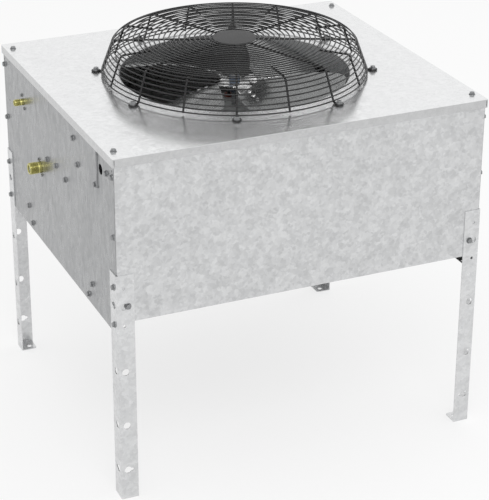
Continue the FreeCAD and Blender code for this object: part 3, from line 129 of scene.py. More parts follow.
def roundedProfile(corners, radius, steps=4):
    points = []
    count = len(corners)
    for i in range(count):
        before, here, after = (Vector(corners[(i + k) % count]) for k in (-1, 0, 1))
        if here.x < 1e-7:
            points.append(tuple(here))
            continue
        back, ahead = before - here, after - here
        reach = min(radius, back.length * 0.45, ahead.length * 0.45)
        start = here + back.normalized() * reach
        end = here + ahead.normalized() * reach
        for k in range(steps + 1):
            share = k / steps
            points.append(tuple((1 - share) ** 2 * start + 2 * share * (1 - share) * here
                                + share ** 2 * end))
    return points


def evaluated(source, name):
    graph = bpy.context.evaluated_depsgraph_get()
    mesh = bpy.data.meshes.new_from_object(source.evaluated_get(graph), depsgraph=graph)
    mesh.name = name
    bpy.data.objects.remove(source)
    return newObject(name, mesh)


# Shader helpers

def addNode(tree, kind, inputs=None, **settings):
    node = tree.nodes.new(kind)
    for name, value in settings.items():
        setattr(node, name, value)
    for name, value in (inputs or {}).items():
        if isinstance(value, bpy.types.NodeSocket):
            tree.links.new(value, node.inputs[name])
        else:
            node.inputs[name].default_value = value
    return node


def mathNode(tree, operation, *values, clamp=False):
    return addNode(tree, "ShaderNodeMath", dict(enumerate(values)), operation=operation,
                   use_clamp=clamp).outputs[0]


def vectorNode(tree, operation, *values):
    return addNode(tree, "ShaderNodeVectorMath", dict(enumerate(values)),
                   operation=operation).outputs[0]


def blendColour(tree, share, first, second, mode="MIX"):
    return addNode(tree, "ShaderNodeMix", {0: share, 6: first, 7: second}, data_type="RGBA",
                   blend_type=mode).outputs[2]


def spread(tree, value, low, high, toLow=0.0, toHigh=1.0):
    return addNode(tree, "ShaderNodeMapRange", {0: value, 1: low, 2: high, 3: toLow, 4: toHigh}
                   ).outputs[0]


def scaled(tree, vector, scale):
    return addNode(tree, "ShaderNodeVectorMath", {0: vector, "Scale": scale},
                   operation="SCALE").outputs[0]


def scaledColour(tree, colour, factor):
    return vectorNode(tree, "MULTIPLY", colour, addNode(
        tree, "ShaderNodeCombineXYZ", {0: factor, 1: factor, 2: factor}).outputs[0])


def noise(tree, vector, scale, detail=3.0, roughness=0.5):
    return addNode(tree, "ShaderNodeTexNoise", {"Vector": vector, "Scale": scale,
                                                "Detail": detail, "Roughness": roughness})


def shaderGroup(name, inputs, outputs):
    tree = bpy.data.node_groups.new(name, "ShaderNodeTree")
    for label, kind, value in inputs:
        socket = tree.interface.new_socket(name=label, in_out="INPUT", socket_type=kind)
        socket.default_value = value
    for label, kind in outputs:
        tree.interface.new_socket(name=label, in_out="OUTPUT", socket_type=kind)
    return tree, tree.nodes.new("NodeGroupInput").outputs, tree.nodes.new("NodeGroupOutput").inputs


colourSocket, floatSocket, vectorSocket = "NodeSocketColor", "NodeSocketFloat", "NodeSocketVector"
surfaceOutputs = [("Colour", colourSocket), ("Roughness", floatSocket), ("Normal", vectorSocket)]

zincPattern = {
    "wobbleScale": 140.0, "wobble": 0.009,  # bends the crystals' borders
    "wideScale": 0.38, "cloudScale": 7.0, "grainScale": 2.6,
    "fine": 0.34, "wide": 0.26, "cloud": 0.25, "grain": 0.15,  # weights, one in all
    "dull": 0.22, "bright": 0.78, "sheen": 0.1,
}


def makeZincGroup():
    p = zincPattern
    tree, given, out = shaderGroup("zincSpangleAndPaintedShade", [
        ("Light", colourSocket, (0.8, 0.8, 0.8, 1)), ("Dark", colourSocket, (0.6, 0.6, 0.6, 1)),
        ("Cell", floatSocket, 0.007), ("Stretch", vectorSocket, (1, 1, 1)),
        ("Below", floatSocket, -1.0), ("Painted Shade Below", floatSocket, 0.7),
        ("Roughness", floatSocket, 0.35), ("Relief", floatSocket, 0.05)], surfaceOutputs)
    coords = addNode(tree, "ShaderNodeTexCoord").outputs["Object"]
    wobble = noise(tree, coords, p["wobbleScale"], 2.0).outputs["Color"]
    centred = vectorNode(tree, "SUBTRACT", wobble, (0.5, 0.5, 0.5))
    moved = vectorNode(tree, "ADD", coords, scaled(tree, centred, p["wobble"]))
    squeezed = vectorNode(tree, "MULTIPLY", moved, given["Stretch"])
    perCell = mathNode(tree, "DIVIDE", 1.0, given["Cell"])
    cells = addNode(tree, "ShaderNodeTexVoronoi", {"Vector": scaled(tree, squeezed, perCell),
                                                   "Scale": 1.0}, feature="SMOOTH_F1")
    cells.inputs["Smoothness"].default_value = 0.16
    fine = addNode(tree, "ShaderNodeSeparateColor", {0: cells.outputs["Color"]}).outputs[0]
    wide = addNode(tree, "ShaderNodeTexVoronoi", {"Vector": scaled(tree, squeezed, perCell),
                                                  "Scale": p["wideScale"]},
                   feature="SMOOTH_F1")
    wide.inputs["Smoothness"].default_value = 0.3
    patch = addNode(tree, "ShaderNodeSeparateColor", {0: wide.outputs["Color"]}).outputs[1]
    cloud = noise(tree, squeezed, p["cloudScale"], 4.0, 0.6).outputs["Fac"]
    grain = noise(tree, scaled(tree, squeezed, perCell), p["grainScale"], 2.0).outputs["Fac"]
    total = mathNode(tree, "MULTIPLY", fine, p["fine"])
    for part, weight in ((patch, p["wide"]), (cloud, p["cloud"]), (grain, p["grain"])):
        total = mathNode(tree, "MULTIPLY_ADD", part, weight, total)
    share = spread(tree, total, p["dull"], p["bright"])
    # Painted shade: under the height given as Below, the spangle colour is multiplied by the next
    # input's factor, which darkens the lid's turned-down flange towards the front panel's tone.
    height = addNode(tree, "ShaderNodeSeparateXYZ", {0: coords}).outputs[2]
    isBelow = mathNode(tree, "LESS_THAN", height, given["Below"])
    change = mathNode(tree, "SUBTRACT", given["Painted Shade Below"], 1.0)
    factor = mathNode(tree, "MULTIPLY_ADD", isBelow, change, 1.0)
    shade = blendColour(tree, share, given["Dark"], given["Light"])
    tree.links.new(scaledColour(tree, shade, factor), out["Colour"])
    tree.links.new(mathNode(tree, "MULTIPLY_ADD", share, -p["sheen"], mathNode(
        tree, "ADD", given["Roughness"], p["sheen"] / 2)), out["Roughness"])
    bump = addNode(tree, "ShaderNodeBump", {"Strength": given["Relief"], "Distance": 0.0004,
                                            "Height": total})
    tree.links.new(bump.outputs[0], out["Normal"])
    return tree


def makePaintGroup():
    tree, given, out = shaderGroup("paintGrain", [
        ("Colour", colourSocket, (0.1, 0.1, 0.1, 1)), ("Dust", colourSocket, (0.4, 0.4, 0.38, 1)),
        ("Dust Amount", floatSocket, 0.1), ("Grain", floatSocket, 900.0),
        ("Roughness", floatSocket, 0.4), ("Relief", floatSocket, 0.1)], surfaceOutputs)
    coords = addNode(tree, "ShaderNodeTexCoord").outputs["Object"]
    facing = addNode(tree, "ShaderNodeSeparateXYZ", {0: addNode(
        tree, "ShaderNodeNewGeometry").outputs["Normal"]}).outputs[2]
    upward = spread(tree, facing, 0.2, 0.95)
    cloud = noise(tree, coords, 22.0, 5.0, 0.62).outputs["Fac"]
    settled = spread(tree, cloud, 0.35, 0.75)
    dusty = mathNode(tree, "MULTIPLY", mathNode(tree, "MULTIPLY", upward, settled),
                     given["Dust Amount"])
    speckle = noise(tree, coords, given["Grain"], 2.0).outputs["Fac"]
    tone = spread(tree, noise(tree, coords, 9.0, 3.0).outputs["Fac"], 0.3, 0.7, 0.9, 1.1)
    shade = blendColour(tree, dusty, scaledColour(tree, given["Colour"], tone), given["Dust"])
    tree.links.new(shade, out["Colour"])
    rough = mathNode(tree, "MULTIPLY_ADD", settled, 0.1, given["Roughness"])
    rough = mathNode(tree, "MULTIPLY_ADD", dusty, 0.4, rough, clamp=True)
    tree.links.new(rough, out["Roughness"])
    bump = addNode(tree, "ShaderNodeBump", {"Strength": given["Relief"], "Distance": 0.0002,
                                            "Height": speckle})
    tree.links.new(bump.outputs[0], out["Normal"])
    return tree


def makeTurnedGroup():
    tree, given, out = shaderGroup("turnedMarks", [
        ("Light", colourSocket, (0.7, 0.6, 0.3, 1)), ("Dark", colourSocket, (0.4, 0.35, 0.1, 1)),
        ("Axis", vectorSocket, (1, 0, 0)), ("Pitch", floatSocket, 0.0004),
        ("Roughness", floatSocket, 0.3), ("Relief", floatSocket, 0.15)], surfaceOutputs)
    coords = addNode(tree, "ShaderNodeTexCoord").outputs["Object"]
    along = addNode(tree, "ShaderNodeVectorMath", {0: coords, 1: given["Axis"]},
                    operation="DOT_PRODUCT").outputs["Value"]
    rings = mathNode(tree, "SINE", mathNode(tree, "DIVIDE", along, given["Pitch"]))
    stain = noise(tree, coords, 160.0, 4.0, 0.6).outputs["Fac"]
    share = spread(tree, stain, 0.3, 0.72)
    share = mathNode(tree, "MULTIPLY_ADD", rings, 0.08, share, clamp=True)
    tree.links.new(blendColour(tree, share, given["Dark"], given["Light"]), out["Colour"])
    tree.links.new(mathNode(tree, "MULTIPLY_ADD", share, -0.12, mathNode(
        tree, "ADD", given["Roughness"], 0.06)), out["Roughness"])
    bump = addNode(tree, "ShaderNodeBump", {"Strength": given["Relief"], "Distance": 0.0001,
                                            "Height": rings})
    tree.links.new(bump.outputs[0], out["Normal"])
    return tree


groups = {"zinc": makeZincGroup(), "paint": makePaintGroup(), "turned": makeTurnedGroup()}


def makeFinish(name, group, values, metallic=0.0, coat=0.0):
    material = bpy.data.materials.new(name)
    material.use_nodes = True
    tree = material.node_tree
    shader = tree.nodes["Principled BSDF"]
    effect = tree.nodes.new("ShaderNodeGroup")
    effect.node_tree = groups[group]
    for label, value in values.items():
        if label in ("Light", "Dark", "Colour", "Dust"):
            value = (*value, 1.0)
        effect.inputs[label].default_value = value
    tree.links.new(effect.outputs["Colour"], shader.inputs["Base Color"])
    tree.links.new(effect.outputs["Roughness"], shader.inputs["Roughness"])
    tree.links.new(effect.outputs["Normal"], shader.inputs["Normal"])
    shader.inputs["Metallic"].default_value = metallic
    shader.inputs["Coat Weight"].default_value = coat
    shader.inputs["Coat Roughness"].default_value = 0.25
    return material


zincLooks = {
    # The lid's zinc is a brighter copy of the panel zinc: painted light on the lid's top, with
    # painted shade on its flange below 0.7825 m.
    "litLidZinc": {"Light": (0.84, 0.845, 0.85), "Dark": (0.76, 0.765, 0.77), "Cell": 0.006,
                "Roughness": 0.2, "Relief": 0.04, "Below": 0.7825, "Painted Shade Below": 0.69},
    "panelZinc": {"Light": (0.7, 0.705, 0.71), "Dark": (0.53, 0.535, 0.54), "Cell": 0.0065,
                  "Roughness": 0.34, "Relief": 0.06},
    # The side panels' zinc is a darker copy of the panel zinc: painted shade for the faces turned
    # from the light. Its crystals are stretched upright.
    "shadedSideZinc": {"Light": (0.38, 0.385, 0.39), "Dark": (0.3, 0.305, 0.31), "Cell": 0.005,
                 "Stretch": (1, 1, 0.35), "Roughness": 0.3, "Relief": 0.06},
    "bladeZinc": {"Light": (0.31, 0.315, 0.315), "Dark": (0.27, 0.275, 0.275), "Cell": 0.006,
                  "Roughness": 0.26, "Relief": 0.02},
    "legZinc": {"Light": (0.74, 0.745, 0.75), "Dark": (0.6, 0.605, 0.61), "Cell": 0.006,
                "Roughness": 0.32, "Relief": 0.05},
    "innerZinc": {"Light": (0.6, 0.605, 0.61), "Dark": (0.42, 0.425, 0.43), "Cell": 0.006,
                  "Roughness": 0.36, "Relief": 0.06},
    "spiderZinc": {"Light": (0.9, 0.9, 0.9), "Dark": (0.7, 0.7, 0.7), "Cell": 0.003,
                   "Roughness": 0.22, "Relief": 0.04},
    "screwZinc": {"Light": (0.34, 0.345, 0.35), "Dark": (0.2, 0.205, 0.21), "Cell": 0.002,
                  "Roughness": 0.36, "Relief": 0.05},
    "finStock": {"Light": (0.78, 0.78, 0.78), "Dark": (0.6, 0.6, 0.6), "Cell": 0.004,
                 "Roughness": 0.35, "Relief": 0.03},
    "laminatedIron": {"Light": (0.3, 0.3, 0.31), "Dark": (0.2, 0.2, 0.21), "Cell": 0.003,
                      "Roughness": 0.5, "Relief": 0.1},
}
turnedLooks = {
    "couplingBrass": {"Light": (0.64, 0.6, 0.24), "Dark": (0.4, 0.37, 0.13),
                      "Axis": (1, 0, 0), "Roughness": 0.28, "Relief": 0.1},
    "poppetSteel": {"Light": (0.5, 0.52, 0.48), "Dark": (0.28, 0.3, 0.27), "Axis": (0, 1, 0),
                    "Roughness": 0.34, "Relief": 0.1},
    "shaftSteel": {"Light": (0.62, 0.62, 0.63), "Dark": (0.42, 0.42, 0.43), "Axis": (0, 0, 1),
                   "Roughness": 0.25, "Relief": 0.1},
    "drawnCopper": {"Light": (0.72, 0.36, 0.22), "Dark": (0.42, 0.18, 0.1), "Axis": (1, 0, 0),
                    "Pitch": 0.004, "Roughness": 0.34, "Relief": 0.03},
    "bearingBronze": {"Light": (0.5, 0.33, 0.16), "Dark": (0.32, 0.2, 0.1), "Axis": (0, 0, 1),
                      "Roughness": 0.45, "Relief": 0.1},
}
paintLooks = {
    "guardBlack": {"Colour": (0.006, 0.006, 0.0065), "Dust Amount": 0.02, "Roughness": 0.34,
                   "Relief": 0.08},
    "guardDiscPaint": {"Colour": (0.03, 0.03, 0.031), "Dust Amount": 0.03, "Roughness": 0.55,
                       "Relief": 0.1},
    "motorPaint": {"Colour": (0.33, 0.34, 0.34), "Dust Amount": 0.1, "Roughness": 0.45,
                   "Relief": 0.15},
    "hubPaint": {"Colour": (0.12, 0.15, 0.2), "Dust Amount": 0.1, "Roughness": 0.35,
                 "Relief": 0.1},
    "redRubber": {"Colour": (0.2, 0.035, 0.025), "Dust Amount": 0.1, "Roughness": 0.55,
                  "Relief": 0.2},
    "blackRubber": {"Colour": (0.015, 0.015, 0.015), "Dust Amount": 0.2, "Roughness": 0.55,
                    "Relief": 0.2},
    "windingVarnish": {"Colour": (0.3, 0.1, 0.04), "Dust Amount": 0.1, "Roughness": 0.4,
                       "Grain": 500.0, "Relief": 0.6},
    "capacitorCan": {"Colour": (0.35, 0.36, 0.37), "Dust Amount": 0.2, "Roughness": 0.35,
                     "Relief": 0.05},
}
finishes = {}
for look, values in zincLooks.items():
    finishes[look] = makeFinish(look, "zinc", values, metallic=0.85)
for look, values in turnedLooks.items():
    finishes[look] = makeFinish(look, "turned", values, metallic=1.0)
for look, values in paintLooks.items():
    finishes[look] = makeFinish(look, "paint", values)
print("finishes:", len(finishes))


# Sheet metal that keeps the CAD's shape, with its bends rounded

bendValues = {"radius": 2.2 * mm, "steps": 4, "leastArea": 15e-4, "flatAngle": 1.0}


def sheetPiece(node, finish, radius=None):
    mesh = nodes[node].data.copy()
    mesh.name = node + "Sheet"
    work = bmesh.new()
    work.from_mesh(mesh)
    bmesh.ops.remove_doubles(work, verts=work.verts, dist=1e-5)
    bmesh.ops.dissolve_limit(work, angle_limit=math.radians(bendValues["flatAngle"]),
                             verts=work.verts, edges=work.edges)
    work.to_mesh(mesh)
    bends = mesh.attributes.get("bevel_weight_edge") or mesh.attributes.new(
        "bevel_weight_edge", "FLOAT", "EDGE")
    work.edges.ensure_lookup_table()
    for edge in work.edges:
        large = len(edge.link_faces) == 2 and all(
            f.calc_area() > bendValues["leastArea"] for f in edge.link_faces)
        if large and edge.is_convex and edge.calc_face_angle() > math.radians(60):
            bends.data[edge.index].value = 1.0
    work.free()
    piece = newObject(node + "Sheet", mesh)
    bevel = piece.modifiers.new("bends", "BEVEL")
    bevel.limit_method = "WEIGHT"
    bevel.width = radius or bendValues["radius"]
    bevel.segments = bendValues["steps"]
    smoothByAngle(mesh, 30)
    piece.modifiers.new("shading", "WEIGHTED_NORMAL").keep_sharp = True
    piece = evaluated(piece, node + "Sheet")
    return finishPiece(piece, "casing", finishes[finish], [node])


# The lid takes the lit copy of the zinc and the side panels take the darker copy: painted light and
# painted shade on one galvanised sheet.
for node, finish, slot in (("top_panel", "litLidZinc", "lid"), ("front_panel", "panelZinc", "casing"),
                           ("rear_panel", "panelZinc", "casing"),
                           ("left_side_panel", "shadedSideZinc", "casing"),
                           ("right_side_panel", "shadedSideZinc", "casing")):
    sheetPiece(node, finish)
for corner in ("front_left", "front_right", "rear_left", "rear_right"):
    sheetPiece("leg_" + corner, "legZinc")
print("casing and legs made")


# Geometry node helpers

def geometryTree(name, inputs):
    tree = bpy.data.node_groups.new(name, "GeometryNodeTree")
    tree.interface.new_socket(name="Geometry", in_out="INPUT", socket_type="NodeSocketGeometry")
    for label, kind in inputs:
        tree.interface.new_socket(name=label, in_out="INPUT", socket_type=kind)
    tree.interface.new_socket(name="Geometry", in_out="OUTPUT", socket_type="NodeSocketGeometry")
    return tree, tree.nodes.new("NodeGroupInput").outputs, tree.nodes.new("NodeGroupOutput").inputs


def closeTree(tree, geometry, finish, out, smooth=True):
    solid = addNode(tree, "GeometryNodeRealizeInstances", {0: geometry}).outputs[0]
    if smooth:
        solid = addNode(tree, "GeometryNodeSetShadeSmooth", {"Geometry": solid}).outputs[0]
    dressed = addNode(tree, "GeometryNodeSetMaterial", {"Geometry": solid, "Material": finish})
    tree.links.new(dressed.outputs[0], out["Geometry"])


def growPiece(name, tree, values, source=None):
    holder = source or newObject(name + "Seed", bpy.data.meshes.new(name + "Seed"))
    grown = holder.modifiers.new("grown", "NODES")
    grown.node_group = tree
    for socket in tree.interface.items_tree:
        if socket.in_out == "INPUT" and socket.name in values:
            grown[socket.identifier] = values[socket.name]
    return evaluated(holder, name)


# Washer-head screws, one at each solid of the CAD's screw nodes

screwValues = {"washer": 7.2 * mm, "washerTop": 6.7 * mm, "washerHeight": 1.3 * mm,
               "head": 10 * mm, "headHeight": 4.2 * mm, "chamfer": 0.9 * mm,
               "shank": 2.75 * mm, "length": 11 * mm}
smallScrewValues = dict(screwValues, washer=4.4 * mm, washerTop=4.1 * mm,
                        washerHeight=0.78 * mm, head=6 * mm, headHeight=2.5 * mm,
                        chamfer=0.5 * mm, shank=1.6 * mm, length=8 * mm)


screwSockets = {"Washer": "washer", "Washer Top": "washerTop", "Washer Height": "washerHeight",
                "Head": "head", "Head Height": "headHeight", "Chamfer": "chamfer",
                "Shank": "shank", "Length": "length"}


def makeScrewTree():
    tree, given, out = geometryTree("washerHeadScrews", [
        *((label, floatSocket) for label in screwSockets), ("Finish", "NodeSocketMaterial")])

    def frustum(sides, bottom, top, depth, lift):
        cone = addNode(tree, "GeometryNodeMeshCone", {"Vertices": sides, "Radius Top": top,
                                                      "Radius Bottom": bottom, "Depth": depth})
        lifted = addNode(tree, "ShaderNodeCombineXYZ", {2: lift}).outputs[0]
        return addNode(tree, "GeometryNodeTransform", {"Geometry": cone.outputs["Mesh"],
                                                       "Translation": lifted}).outputs[0]

    corner = mathNode(tree, "DIVIDE", given["Head"], math.sqrt(3))
    body = mathNode(tree, "SUBTRACT", given["Head Height"], given["Chamfer"])
    shoulder = mathNode(tree, "ADD", given["Washer Height"], body)
    pieces = [
        frustum(28, given["Washer"], given["Washer Top"], given["Washer Height"], 0.0),
        frustum(6, corner, corner, body, given["Washer Height"]),
        frustum(6, corner, mathNode(tree, "SUBTRACT", corner, given["Chamfer"]),
                given["Chamfer"], shoulder),
        frustum(16, given["Shank"], given["Shank"], given["Length"],
                mathNode(tree, "MULTIPLY", given["Length"], -1.0))]
    whole = addNode(tree, "GeometryNodeJoinGeometry")
    for piece in pieces:
        tree.links.new(piece, whole.inputs[0])
    axis = addNode(tree, "GeometryNodeInputNamedAttribute", {"Name": "outward"},
                   data_type="FLOAT_VECTOR").outputs[0]
    turn = addNode(tree, "FunctionNodeAlignRotationToVector", {"Vector": axis}, axis="Z")
    placed = addNode(tree, "GeometryNodeInstanceOnPoints", {
        "Points": given["Geometry"], "Instance": whole.outputs[0],
        "Rotation": turn.outputs[0]})
    closeTree(tree, placed.outputs[0], given["Finish"], out, smooth=False)
    return tree


screwTree = makeScrewTree()


def looseBoxes(node):
    work = bmesh.new()
    work.from_mesh(nodes[node].data)
    bmesh.ops.remove_doubles(work, verts=work.verts, dist=1e-5)
    left = set(work.verts)
    boxes = []
    while left:
        stack = [left.pop()]
        points = []
        while stack:
            vertex = stack.pop()
            points.append(vertex.co.copy())
            for edge in vertex.link_edges:
                other = edge.other_vert(vertex)
                if other in left:
                    left.remove(other)
                    stack.append(other)
        low = Vector(min(p[k] for p in points) for k in range(3))
        high = Vector(max(p[k] for p in points) for k in range(3))
        boxes.append((low, high))
    work.free()
    return boxes


def screwSeats(node, length):
    middle = (cadBounds[0] + cadBounds[1]) / 2
    seats = []
    for low, high in looseBoxes(node):
        size, centre = high - low, (low + high) / 2
        axis = max(range(3), key=lambda k: size[k])
        outward = Vector((0, 0, 0))
        outward[axis] = 1.0 if axis == 2 or centre[axis] > middle[axis] else -1.0
        tip = low[axis] if outward[axis] > 0 else high[axis]
        seat = centre.copy()
        seat[axis] = tip + outward[axis] * length
        seats.append((seat, outward))
    return seats


def screwPiece(node, values):
    seats = screwSeats(node, values["length"])
    mesh = bpy.data.meshes.new(node + "Seats")
    mesh.from_pydata([seat for seat, _ in seats], [], [])
    outward = mesh.attributes.new("outward", "FLOAT_VECTOR", "POINT")
    for i, (_, axis) in enumerate(seats):
        outward.data[i].vector = axis
    sizes = {label: values[key] for label, key in screwSockets.items()}
    sizes["Finish"] = finishes["screwZinc"]
    piece = growPiece(node + "Heads", screwTree, sizes, newObject(node + "Seats", mesh))
    smoothByAngle(piece.data, 35)
    return finishPiece(piece, "casing", finishes["screwZinc"], [node])


screwPiece("casing_screws", screwValues)
screwPiece("guard_screws", screwValues)
screwPiece("coupling_screws", smallScrewValues)
print("screws made")


# Wire guard

lidTop = boxOf("top_panel")[1].z
guardValues = {
    "ribWire": 2.25 * mm, "ringWire": 1.5 * mm, "weldDepth": 0.3 * mm, "footRadius": 306 * mm,
    "eyeRadius": 8 * mm, "baseRadius": 291.1 * mm, "footBend": 6 * mm,
    "shoulderRadius": 265.3 * mm, "shoulderHeight": 72.25 * mm,
    "hubRadius": 24 * mm, "hubHeight": 75.25 * mm, "bend": 14 * mm, "ribs": 8,
    "firstRib": 22.5, "shortReach": 197 * mm, "shortFoot": 4 * mm, "firstRing": 7 * mm,
    "lowPitch": 8.96 * mm, "highPitch": 10.08 * mm, "lowRings": 3, "sideRings": 7,
    "topRings": 19, "topOuter": 255.5 * mm, "topInner": 54.6 * mm, "discEdge": 0.7 * mm,
}


def bentCurve(name, points, radii, loop=None):
    curve = bpy.data.curves.new(name, "CURVE")
    curve.dimensions = "3D"
    line = [Vector(points[0])]
    for before, corner, after, radius in zip(points, points[1:], points[2:], radii):
        corner = Vector(corner)
        back = (Vector(before) - corner).normalized()
        ahead = (Vector(after) - corner).normalized()
        reach = radius / math.tan(back.angle(ahead) / 2)
        start, end = corner + back * reach, corner + ahead * reach
        for k in range(9):
            share = k / 8
            line.append((1 - share) ** 2 * start + 2 * share * (1 - share) * corner
                        + share ** 2 * end)
    line.append(Vector(points[-1]))
    spline = curve.splines.new("POLY")
    spline.points.add(len(line) - 1)
    for place, point in zip(spline.points, line):
        place.co = (*point, 1.0)
    if loop:
        centre, radius = loop
        ring = curve.splines.new("POLY")
        ring.points.add(31)
        for k, place in enumerate(ring.points):
            turn = 2 * pi * k / 32
            place.co = (centre[0] + radius * math.cos(turn), centre[1] + radius * math.sin(turn),
                        centre[2], 1.0)
        ring.use_cyclic_u = True
    return newObject(name, curve)


def makeRibTree():
    tree, given, out = geometryTree("guardRibs", [
        ("Count", "NodeSocketInt"), ("First Angle", floatSocket), ("Wire", floatSocket),
        ("Finish", "NodeSocketMaterial")])
    points = addNode(tree, "GeometryNodeMeshLine", {"Count": given["Count"],
                                                    "Offset": (0, 0, 0)})
    index = addNode(tree, "GeometryNodeInputIndex").outputs[0]
    step = mathNode(tree, "DIVIDE", 2 * pi, given["Count"])
    turn = mathNode(tree, "MULTIPLY_ADD", index, step, given["First Angle"])
    rotation = addNode(tree, "FunctionNodeEulerToRotation", {0: addNode(
        tree, "ShaderNodeCombineXYZ", {2: turn}).outputs[0]}).outputs[0]
    placed = addNode(tree, "GeometryNodeInstanceOnPoints", {
        "Points": points.outputs[0], "Instance": given["Geometry"], "Rotation": rotation})
    lines = addNode(tree, "GeometryNodeRealizeInstances", {0: placed.outputs[0]}).outputs[0]
    section = addNode(tree, "GeometryNodeCurvePrimitiveCircle", {"Resolution": 14,
                                                                 "Radius": given["Wire"]})
    wire = addNode(tree, "GeometryNodeCurveToMesh", {
        "Curve": lines, "Profile Curve": section.outputs[0], "Fill Caps": True})
    closeTree(tree, wire.outputs[0], given["Finish"], out)
    return tree


def makeRingTree():
    tree, given, out = geometryTree("guardRings", [
        ("Count", "NodeSocketInt"), ("Low Count", "NodeSocketInt"), ("First Z", floatSocket),
        ("Low Pitch", floatSocket), ("High Pitch", floatSocket), ("Radius At First", floatSocket),
        ("Radius Change", floatSocket), ("Wire", floatSocket), ("Radius Step", floatSocket),
        ("Height Change", floatSocket), ("Finish", "NodeSocketMaterial")])
    points = addNode(tree, "GeometryNodeMeshLine", {"Count": given["Count"],
                                                    "Offset": (0, 0, 0)})
    index = addNode(tree, "GeometryNodeInputIndex").outputs[0]
    isLow = mathNode(tree, "LESS_THAN", index, given["Low Count"])
    pitch = addNode(tree, "ShaderNodeMix", {0: isLow, 2: given["High Pitch"],
                                            3: given["Low Pitch"]}).outputs[0]
    rise = mathNode(tree, "MULTIPLY", index, pitch)
    inward = mathNode(tree, "MULTIPLY", index, given["Radius Step"])
    radius = mathNode(tree, "MULTIPLY_ADD", rise, given["Radius Change"],
                      given["Radius At First"])
    radius = mathNode(tree, "ADD", radius, inward)
    height = mathNode(tree, "ADD", given["First Z"], rise)
    height = mathNode(tree, "MULTIPLY_ADD", inward, given["Height Change"], height)
    place = addNode(tree, "ShaderNodeCombineXYZ", {2: height}).outputs[0]
    moved = addNode(tree, "GeometryNodeSetPosition", {"Geometry": points.outputs[0],
                                                      "Position": place})
    circle = addNode(tree, "GeometryNodeCurvePrimitiveCircle", {"Resolution": 160,
                                                                "Radius": 1.0})
    size = addNode(tree, "ShaderNodeCombineXYZ", {0: radius, 1: radius, 2: 1.0}).outputs[0]
    placed = addNode(tree, "GeometryNodeInstanceOnPoints", {
        "Points": moved.outputs[0], "Instance": circle.outputs[0], "Scale": size})
    lines = addNode(tree, "GeometryNodeRealizeInstances", {0: placed.outputs[0]}).outputs[0]
    section = addNode(tree, "GeometryNodeCurvePrimitiveCircle", {"Resolution": 10,
                                                                 "Radius": given["Wire"]})
    wire = addNode(tree, "GeometryNodeCurveToMesh", {"Curve": lines,
                                                     "Profile Curve": section.outputs[0]})
    closeTree(tree, wire.outputs[0], given["Finish"], out)
    return tree


def makeGuard():
    g = guardValues
    black = finishes["guardBlack"]
    foot = Vector((g["footRadius"] - g["eyeRadius"], 0, lidTop + g["ribWire"]))
    base = Vector((g["baseRadius"], 0, foot.z))
    shoulder = Vector((g["shoulderRadius"], 0, lidTop + g["shoulderHeight"]))
    hub = Vector((g["hubRadius"], 0, lidTop + g["hubHeight"]))
    spacing = g["ribWire"] + g["ringWire"] - g["weldDepth"]
    lean = (shoulder.x - base.x) / (shoulder.z - base.z)
    crown = (hub.z - shoulder.z) / (hub.x - shoulder.x)
    ribTree, ringTree = makeRibTree(), makeRingTree()

    eye = ((g["footRadius"], 0, foot.z), g["eyeRadius"])
    line = bentCurve("longRibLine", [foot, base, shoulder, hub], [g["footBend"], g["bend"]], eye)
    ribs = growPiece("guardLongRibs", ribTree, {
        "Count": g["ribs"], "First Angle": math.radians(g["firstRib"]), "Wire": g["ribWire"],
        "Finish": black}, line)
    finishPiece(ribs, "casing", black, ["guard_long_ribs"])

    footZ = lidTop + g["shortFoot"]
    shortFoot = Vector((base.x + lean * (footZ - base.z), 0, footZ))
    inner = Vector((g["shortReach"], 0, hub.z + crown * (g["shortReach"] - hub.x)))
    line = bentCurve("shortRibLine", [shortFoot, shoulder, inner], [g["bend"]])
    ribs = growPiece("guardShortRibs", ribTree, {
        "Count": g["ribs"], "First Angle": math.radians(g["firstRib"] + 180 / g["ribs"]),
        "Wire": g["ribWire"], "Finish": black}, line)
    finishPiece(ribs, "casing", black, ["guard_short_ribs"])

    firstZ = lidTop + g["firstRing"]
    rings = growPiece("guardSideRings", ringTree, {
        "Count": g["sideRings"], "Low Count": g["lowRings"], "First Z": firstZ,
        "Low Pitch": g["lowPitch"], "High Pitch": g["highPitch"],
        "Radius At First": base.x + lean * (firstZ - base.z) + spacing, "Radius Change": lean,
        "Wire": g["ringWire"], "Finish": black})
    down, inwards = (base - shoulder).normalized(), (hub - shoulder).normalized()
    reach = g["bend"] / math.sin(down.angle(inwards) / 2) - g["bend"] - spacing
    edge = shoulder + (down + inwards).normalized() * reach
    top = growPiece("shoulderRing", ringTree, {
        "Count": 1, "First Z": edge.z, "Radius At First": edge.x, "Wire": g["ringWire"],
        "Finish": black})
    whole = newObject("guardSideWires", joinMeshes("guardSideWires", [rings.data, top.data]))
    for part in (rings, top):
        bpy.data.objects.remove(part)
    whole.data.shade_smooth()
    finishPiece(whole, "casing", black, ["guard_side_rings"])

    step = (g["topInner"] - g["topOuter"]) / (g["topRings"] - 1)
    topZ = hub.z + crown * (g["topOuter"] - hub.x) + spacing
    rings = growPiece("guardTopRings", ringTree, {
        "Count": g["topRings"], "First Z": topZ, "Radius At First": g["topOuter"],
        "Wire": g["ringWire"], "Radius Step": step, "Height Change": crown, "Finish": black})
    finishPiece(rings, "casing", black, ["guard_top_rings"])

    low, high, _ = boxOf("guard_hub_disc")
    radius = high.x
    edge = roundedProfile([(0, low.z), (radius, low.z), (radius, high.z), (0, high.z)],
                          g["discEdge"], 4)
    disc = newObject("guardHubDisc", lathe("guardHubDisc", edge, 96, closed=False))
    smoothByAngle(disc.data, 40)
    finishPiece(disc, "casing", finishes["guardDiscPaint"], ["guard_hub_disc"])


makeGuard()
print("guard made")


# Collar round the fan

collarValues = {"inner": 254.5 * mm, "wall": 1.2 * mm, "edge": 0.5 * mm}


